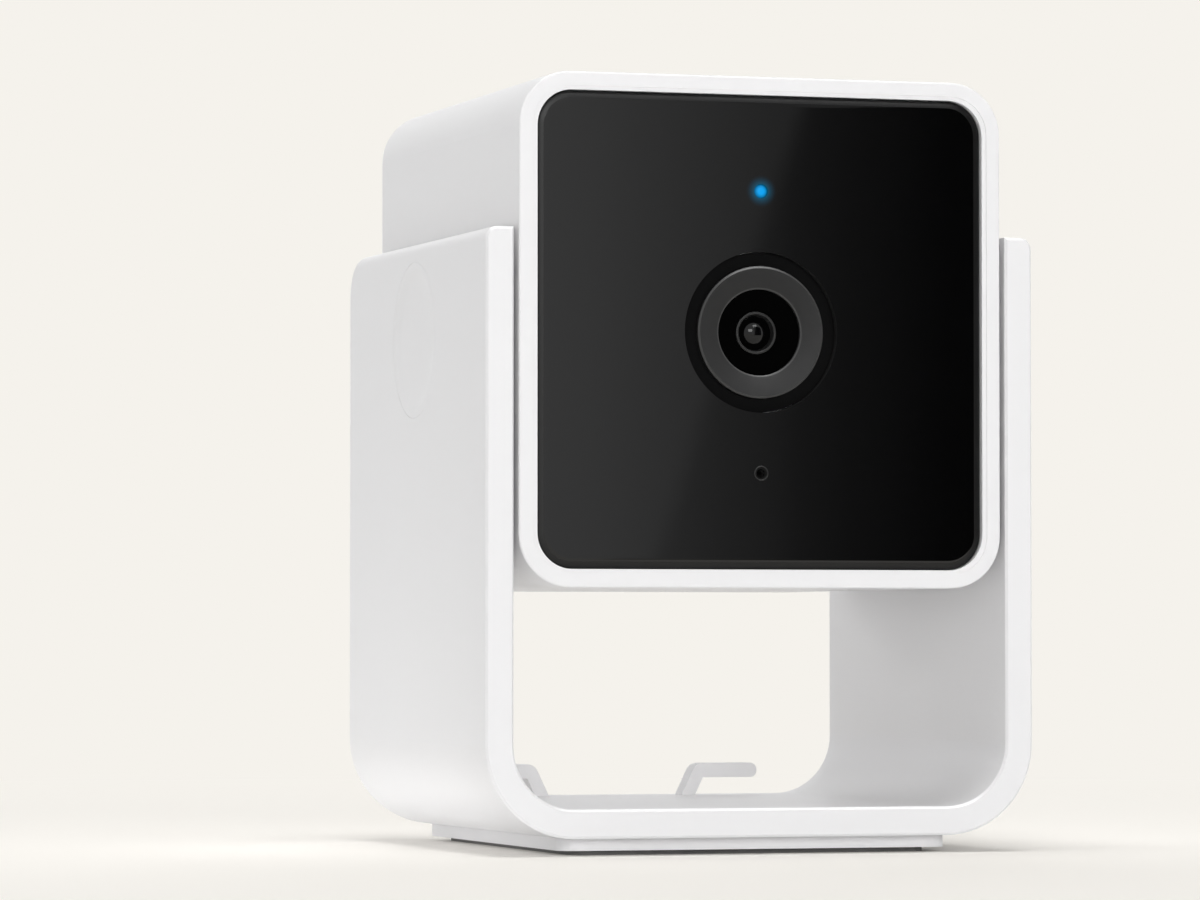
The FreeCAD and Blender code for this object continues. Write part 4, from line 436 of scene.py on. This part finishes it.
def make_microphone_rim():
    """A fine ring pressed into the countersink of the microphone's hole."""
    panel_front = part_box("front_panel")[0].y
    front, back = panel_front - 0.02 * MM, panel_front + SINK_DEPTH
    corners = [(0.78, back, 0), (0.78, front, 0.04), (0.66, front, 0.04), (0.62, back, 0)]
    corners = [(radius * MM, along, round_by * MM) for radius, along, round_by in corners]
    turned("microphone_rim", softened(corners, 4), middle("microphone_gasket"), RIM_GREY,
           "head", turns=64)


def rounded_loop(mesh_tool, half_x, half_z, corner, y, centre, corner_steps=16):
    """One ring of vertices round an upright rounded rectangle at depth y."""
    loop = []
    for quarter, (side_x, side_z) in enumerate([(1, 1), (-1, 1), (-1, -1), (1, -1)]):
        for step in range(corner_steps + 1):
            angle = pi / 2 * (quarter + step / corner_steps)
            loop.append(mesh_tool.verts.new((
                centre.x + side_x * (half_x - corner) + corner * cos(angle), y,
                centre.z + side_z * (half_z - corner) + corner * sin(angle))))
    return loop


def round_loop(mesh_tool, radius, y, centre, turns):
    return [mesh_tool.verts.new((centre.x + radius * cos(2 * pi * step / turns), y,
                                 centre.z + radius * sin(2 * pi * step / turns)))
            for step in range(turns)]


def fill(mesh_tool, loops):
    """A flat face with holes between rings of vertices."""
    edges = []
    for loop in loops:
        for index, vertex in enumerate(loop):
            edges.append(mesh_tool.edges.get((vertex, loop[(index + 1) % len(loop)])))
    bmesh.ops.triangle_fill(mesh_tool, edges=edges, use_beauty=True)


def make_panel():
    """The black front: a cover glass whose edge rolls over, with three holes through it."""
    low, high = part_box("front_panel")
    centre = middle("front_panel")
    half_x, half_z = (high.x - low.x) / 2, (high.z - low.z) / 2
    front, back = low.y, high.y
    corner, roll, drop, steps = 3.7 * MM, 1.05 * MM, 0.30 * MM, 10
    well_radius, lamp_radius, sink_radius, hole_radius = 8.38 * MM, 0.75 * MM, 0.79 * MM, 0.45 * MM
    light, hole = middle("light_pipe"), middle("microphone_gasket")
    mesh_tool = bmesh.new()
    skin = []
    for step in range(steps + 1):
        angle = pi / 2 * step / steps
        inset, depth = roll * (1 - sin(angle)), drop * (1 - cos(angle))
        skin.append(rounded_loop(mesh_tool, half_x - inset, half_z - inset, corner - inset,
                                 front + depth, centre))
    skin.append(rounded_loop(mesh_tool, half_x, half_z, corner, back, centre))
    bridge(mesh_tool, skin, False)
    groove = [round_loop(mesh_tool, well_radius, y, LENS, 160) for y in (front, back)]
    lamp = [round_loop(mesh_tool, lamp_radius, y, light, 48) for y in (front, back)]
    sink = [round_loop(mesh_tool, radius, y, hole, 48)
            for radius, y in ((sink_radius, front), (sink_radius, front + SINK_DEPTH),
                              (hole_radius, front + SINK_DEPTH), (hole_radius, back))]
    for rings in (groove, lamp, sink):
        bridge(mesh_tool, rings, False)
    fill(mesh_tool, [skin[0], groove[0], lamp[0], sink[0]])
    fill(mesh_tool, [skin[-1], groove[-1], lamp[-1], sink[-1]])
    made = finished_mesh("front_panel_rolled", mesh_tool, FINISHES["panel_black"],
                         "head", ["front_panel"])
    flat = {round(front, DIGITS), round(back, DIGITS)}
    mesh = made.data
    for edge in mesh.edges:
        depths = {round(mesh.vertices[number].co.y, DIGITS) for number in edge.vertices}
        if len(depths) == 1 and depths <= flat:
            edge.use_edge_sharp = True
    mesh.materials.append(WELL_WALL_PAINTED_LIGHT.material)
    mesh.materials.append(PANEL_EDGE.material)
    upright, level = 0.1, -0.995               # y of the normal of a wall and of the flat front
    near_well, near_edge = 9 * MM, 20 * MM     # from the lens axis
    for face in mesh.polygons:
        away = face.center - LENS
        aside = (away * Vector((1.0, 0.0, 1.0))).length
        if abs(face.normal.y) < upright and aside < near_well:
            face.material_index = 1            # the well's wall, lighter than the well's floor: painted light on its shade
        elif face.normal.y > level and max(abs(away.x), abs(away.z)) > near_edge:
            face.material_index = 2            # the rolled edge


def make_seam():
    """A white seal just under the surface between the head shell and the front frame."""
    low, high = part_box("front_frame")
    centre = middle("front_frame")
    half_x, half_z = (high.x - low.x) / 2, (high.z - low.z) / 2
    front, deep, tuck = low.y + 0.03 * MM, low.y + 0.8 * MM, 0.03 * MM
    gap, corner = 0.1 * MM, 3.9 * MM
    mesh_tool = bmesh.new()
    rings = [rounded_loop(mesh_tool, half_x + grow, half_z + grow, corner + grow, y, centre)
             for grow, y in ((-tuck, front), (gap + tuck, front), (gap + tuck, deep),
                             (-tuck, deep))]
    bridge(mesh_tool, rings, True)
    finished_mesh("frame_seal", mesh_tool, FINISHES["frame_white"], "head")


def make_shroud():
    """A dark plate behind the power inlet that closes the view round the socket's mouth."""
    socket = middle("power_socket")
    low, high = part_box("power_socket")
    mouth, half_thickness = high.y, 0.3 * MM
    outside, inside = mouth + half_thickness, mouth - half_thickness
    play, chamfer = 0.12 * MM, 0.35 * MM
    fit_x, fit_z = (high.x - low.x) / 2 + play, (high.z - low.z) / 2 + play
    plate, bore = (6.4 * MM, 4.0 * MM, 1.8 * MM), (fit_x, fit_z, 0.3 * MM)
    mesh_tool = bmesh.new()
    rings = [rounded_loop(mesh_tool, half_x, half_z, corner, y, socket)
             for half_x, half_z, corner, y in (
                 (*plate, inside), (*plate, outside),
                 (fit_x + chamfer, fit_z + chamfer, 0.6 * MM, outside),
                 (*bore, mouth), (*bore, inside))]
    bridge(mesh_tool, rings, True)
    finished_mesh("inlet_shroud", mesh_tool, FINISHES["chip_black"], "head")


def make_cap(node, side):
    """A pivot cap, softly dished inside a narrow rim."""
    low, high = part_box(node)
    face = high.x if side > 0 else low.x
    back = low.x if side > 0 else high.x
    # Radius and depth below the face, in millimetres.
    profile = [(8.34, 0.05), (8.29, 0.0), (7.75, 0.0), (7.55, 0.02), (7.2, 0.085),
               (6.8, 0.175), (6.4, 0.24), (6.0, 0.28), (5.2, 0.31), (0.0, 0.32)]
    points = [(0.0, back), (profile[0][0] * MM, back)]
    points += [(radius * MM, face - side * depth * MM) for radius, depth in profile]
    turned(node + "_dished", points, middle(node), FINISHES["stand_white"], "stand",
           [node], axis="X", closed=False, turns=160)


make_ring()
make_barrel()
make_light()
make_microphone_rim()
make_panel()
make_seam()
make_shroud()
make_cap("pivot_cap_left", -1)
make_cap("pivot_cap_right", 1)


# ---------------------------------------------------------------- camera

CAMERA_PLACE = (-0.19407, -0.58292, 0.0223)
CAMERA_PITCH, CAMERA_YAW = 1.91, 17.6          # degrees up, and turned from +Y toward +X
CAMERA_LENS = 170.12                           # mm on a 36 mm wide sensor

camera_data = bpy.data.cameras.new("camera")
camera_data.sensor_width = 36.0
camera_data.lens = CAMERA_LENS
camera_data.clip_start = 0.01
camera = bpy.data.objects.new("camera", camera_data)
camera.location = CAMERA_PLACE
camera.rotation_euler = (radians(90.0 + CAMERA_PITCH), 0.0, radians(-CAMERA_YAW))
bpy.context.scene.collection.objects.link(camera)
bpy.context.scene.camera = camera


# ---------------------------------------------------------------- backdrop and light

PURE_WHITE = (1.0, 1.0, 1.0, 1.0)
CREAM = (0.913, 0.888, 0.839, 1.0)             # the backdrop as the camera sees it
MIRRORED = (0.90, 0.90, 0.90, 1.0)             # the backdrop as gloss mirrors it
AMBIENT = 0.26                                 # strength of the backdrop's diffuse light


def plane(name, corners):
    """A flat four-cornered stage piece."""
    mesh = bpy.data.meshes.new(name)
    mesh.from_pydata([tuple(c) for c in corners], [], [tuple(range(len(corners)))])
    made = bpy.data.objects.new(name, mesh)
    bpy.context.scene.collection.objects.link(made)
    return made


def maths(tree, operation, *values):
    """A Math node over values, each a number or a socket."""
    made = tree.nodes.new("ShaderNodeMath")
    made.operation = operation
    for socket, value in zip(made.inputs, values):
        if isinstance(value, bpy.types.NodeSocket):
            tree.links.new(value, socket)
        else:
            socket.default_value = value
    return made.outputs["Value"]


def background(tree, colour, strength=1.0):
    """A world shader of one colour."""
    made = tree.nodes.new("ShaderNodeBackground")
    made.inputs["Color"].default_value = colour
    made.inputs["Strength"].default_value = strength
    return made.outputs[0]


def either(tree, share, first, second):
    """The first shader where share is 0, and the second where it is 1."""
    made = tree.nodes.new("ShaderNodeMixShader")
    tree.links.new(share, made.inputs[0])
    tree.links.new(first, made.inputs[1])
    tree.links.new(second, made.inputs[2])
    return made.outputs[0]


def falling(tree, value, start, end, first, last):
    """A smooth step from first at start to last at end."""
    made = tree.nodes.new("ShaderNodeMapRange")
    made.interpolation_type = "SMOOTHSTEP"
    tree.links.new(value, made.inputs["Value"])
    for socket, number in (("From Min", start), ("From Max", end), ("To Min", first),
                           ("To Max", last)):
        made.inputs[socket].default_value = number
    return made.outputs["Result"]


def emission(tree, colour, strength=1.0):
    """A shader that gives light; strength is a number or a socket."""
    made = tree.nodes.new("ShaderNodeEmission")
    made.inputs["Color"].default_value = colour
    if isinstance(strength, bpy.types.NodeSocket):
        tree.links.new(strength, made.inputs["Strength"])
    else:
        made.inputs["Strength"].default_value = strength
    return made.outputs[0]


world = bpy.data.worlds.new("studio")
world.use_nodes = True
sky = world.node_tree
path = sky.nodes.new("ShaderNodeLightPath")
seen = maths(sky, "MAXIMUM", path.outputs["Is Camera Ray"], path.outputs["Is Transmission Ray"])
lit = either(sky, path.outputs["Is Glossy Ray"], background(sky, PURE_WHITE, AMBIENT),
             background(sky, MIRRORED))
sky.links.new(either(sky, seen, lit, background(sky, CREAM)),
              sky.nodes["World Output"].inputs["Surface"])
bpy.context.scene.world = world

FLOOR_REACH = 4.0
FADE_FROM, FADE_TO = 0.10, 0.30                # over this distance the floor turns to backdrop
FLOOR_COLOUR = (0.955, 0.928, 0.878, 1.0)      # as it is seen, directly or in gloss
FLOOR_NEUTRAL = (0.90, 0.90, 0.90, 1.0)        # as it lights the object
BOUNCE = 0.46                                  # extra light from below, for the object only
BOUNCE_PLACE = (-0.062, 0.005, 0.0)
BOUNCE_REACH = 0.06

floor = plane("floor", [(-FLOOR_REACH, -FLOOR_REACH, 0.0), (FLOOR_REACH, -FLOOR_REACH, 0.0),
                        (FLOOR_REACH, FLOOR_REACH, 0.0), (-FLOOR_REACH, FLOOR_REACH, 0.0)])
ground = bpy.data.materials.new("floor")
ground.use_nodes = True
tree = ground.node_tree
paper = tree.nodes["Principled BSDF"]
paper.inputs["Roughness"].default_value = 0.95
paper.inputs["Specular IOR Level"].default_value = 0.0
place = tree.nodes.new("ShaderNodeNewGeometry")
reach = tree.nodes.new("ShaderNodeVectorMath")
reach.operation = "LENGTH"
tree.links.new(place.outputs["Position"], reach.inputs[0])
path = tree.nodes.new("ShaderNodeLightPath")
seen = maths(tree, "MAXIMUM", path.outputs["Is Camera Ray"], path.outputs["Is Transmission Ray"])
seen = maths(tree, "MAXIMUM", seen, path.outputs["Is Glossy Ray"])
far = maths(tree, "MULTIPLY",
            falling(tree, reach.outputs["Value"], FADE_FROM, FADE_TO, 0.0, 1.0), seen)
aside = tree.nodes.new("ShaderNodeVectorMath")
aside.operation = "DISTANCE"
tree.links.new(place.outputs["Position"], aside.inputs[0])
aside.inputs[1].default_value = BOUNCE_PLACE
bounce = maths(tree, "MULTIPLY",
               falling(tree, aside.outputs["Value"], BOUNCE_REACH / 2, BOUNCE_REACH, BOUNCE, 0.0),
               path.outputs["Is Diffuse Ray"])
tint = tree.nodes.new("ShaderNodeMix")
tint.data_type = "RGBA"
tree.links.new(seen, tint.inputs[MIX_FACTOR])
tint.inputs[COLOUR_A].default_value = FLOOR_NEUTRAL
tint.inputs[COLOUR_B].default_value = FLOOR_COLOUR
tree.links.new(tint.outputs[COLOUR_OUT], paper.inputs["Base Color"])
both = tree.nodes.new("ShaderNodeAddShader")
tree.links.new(either(tree, far, paper.outputs[0], emission(tree, CREAM)), both.inputs[0])
tree.links.new(emission(tree, PURE_WHITE, bounce), both.inputs[1])
tree.links.new(both.outputs[0], tree.nodes["Material Output"].inputs["Surface"])
floor.data.materials.append(ground)

# Area lamps that face AIM.  The last three give no diffuse light and only show in gloss.
AIM = Vector((0.0, 0.0, 0.045))
LAMPS = {                                      # place, width, height, watts, lights, shows in gloss
    "overhead": ((-0.107, -0.107, 1.487), 0.75, 0.75, 11.8, True, True),
    "front": ((-0.256, -1.204, 0.262), 0.80, 0.42, 3.1, True, False),
    "front_right": ((0.256, -1.204, 0.262), 0.80, 0.42, 3.7, True, False),
    "back": ((0.316, 1.181, 0.305), 0.80, 0.42, 6.2, True, False),
    "back_left": ((-0.611, 1.059, 0.305), 0.80, 0.42, 2.4, True, False),
    "glint": ((-0.046, -1.056, 0.343), 0.34, 0.22, 1.3, False, True),
    "sparkle": ((0.39, -0.90, 0.72), 0.34, 0.22, 1.2, False, True),
    "strip": ((0.30, -0.33, 1.08), 0.90, 0.30, 8.0, False, True),
}
for name, (spot, width, height, watts, lights, shows) in LAMPS.items():
    lamp_data = bpy.data.lights.new(name, "AREA")
    lamp_data.shape = "RECTANGLE"
    lamp_data.size, lamp_data.size_y = width, height
    lamp_data.energy = watts
    lamp = bpy.data.objects.new(name, lamp_data)
    lamp.location = spot
    lamp.rotation_euler = (AIM - Vector(spot)).to_track_quat("-Z", "Y").to_euler()
    lamp.visible_camera = False
    lamp.visible_diffuse = lights
    lamp.visible_glossy = shows
    bpy.context.scene.collection.objects.link(lamp)


# The panel mirrors a dark flag that stands to the right of the camera.  Its edge leans, and the
# flag gets denser to the right.  Only mirror rays see it.
FLAG_Y = -0.5
FLAG_LEFT, FLAG_RIGHT, FLAG_LOW, FLAG_HIGH = 0.05, 0.60, 0.0, 0.40
FLAG_EDGE_X, FLAG_EDGE_Z, FLAG_LEAN = 0.1439, 0.0376, 0.337
FLAG_BLUR = 0.0022                             # half the width over which the edge turns dark
FLAG_START, FLAG_SPAN = 0.12, 0.09             # the ramps begin here and run over this width

flag = plane("flag", [(FLAG_LEFT, FLAG_Y, FLAG_LOW), (FLAG_RIGHT, FLAG_Y, FLAG_LOW),
                      (FLAG_RIGHT, FLAG_Y, FLAG_HIGH), (FLAG_LEFT, FLAG_Y, FLAG_HIGH)])
cloth = bpy.data.materials.new("flag")
cloth.use_nodes = True
tree = cloth.node_tree
tree.nodes.remove(tree.nodes["Principled BSDF"])


def ramp(tree, value, stops):
    """A ColorRamp of grey stops, given as {place: grey}."""
    made = tree.nodes.new("ShaderNodeValToRGB")
    tree.links.new(value, made.inputs["Fac"])
    elements = made.color_ramp.elements
    while len(elements) > 1:
        elements.remove(elements[-1])
    for index, (position, grey) in enumerate(sorted(stops.items())):
        element = elements[0] if index == 0 else elements.new(position)
        element.position = position
        element.color = (grey, grey, grey, 1.0)
    return made.outputs["Color"]


position = tree.nodes.new("ShaderNodeNewGeometry")
axes = tree.nodes.new("ShaderNodeSeparateXYZ")
tree.links.new(position.outputs["Position"], axes.inputs[0])
along = maths(tree, "DIVIDE", maths(tree, "SUBTRACT", axes.outputs["X"], FLAG_START), FLAG_SPAN)
left_cover = ramp(tree, along, {0.0: 0.0, 0.13: 0.11, 0.24: 0.25, 0.36: 0.38, 0.53: 0.56,
                                1.0: 0.64})
right_cover = ramp(tree, along, {0.30: 0.50, 0.42: 0.645, 0.53: 0.742, 0.58: 0.82, 0.70: 0.895,
                                 0.81: 0.936, 0.92: 0.978, 1.0: 0.985})
lean = maths(tree, "MULTIPLY", maths(tree, "SUBTRACT", axes.outputs["Z"], FLAG_EDGE_Z), FLAG_LEAN)
past = maths(tree, "SUBTRACT", maths(tree, "SUBTRACT", axes.outputs["X"], FLAG_EDGE_X), lean)
side_of_edge = tree.nodes.new("ShaderNodeMapRange")
tree.links.new(past, side_of_edge.inputs["Value"])
side_of_edge.inputs["From Min"].default_value = -FLAG_BLUR
side_of_edge.inputs["From Max"].default_value = FLAG_BLUR
cover = tree.nodes.new("ShaderNodeMix")
tree.links.new(side_of_edge.outputs["Result"], cover.inputs[MIX_FACTOR])
tree.links.new(left_cover, cover.inputs[FLOAT_A])
tree.links.new(right_cover, cover.inputs[FLOAT_B])
mirror = tree.nodes.new("ShaderNodeLightPath")
amount = maths(tree, "MULTIPLY", cover.outputs[FLOAT_OUT], mirror.outputs["Is Glossy Ray"])
clear = tree.nodes.new("ShaderNodeBsdfTransparent")
dark = emission(tree, PURE_WHITE, 0.0)
tree.links.new(either(tree, amount, clear.outputs[0], dark),
               tree.nodes["Material Output"].inputs["Surface"])
flag.data.materials.append(cloth)

bpy.context.scene.view_settings.view_transform = "Standard"
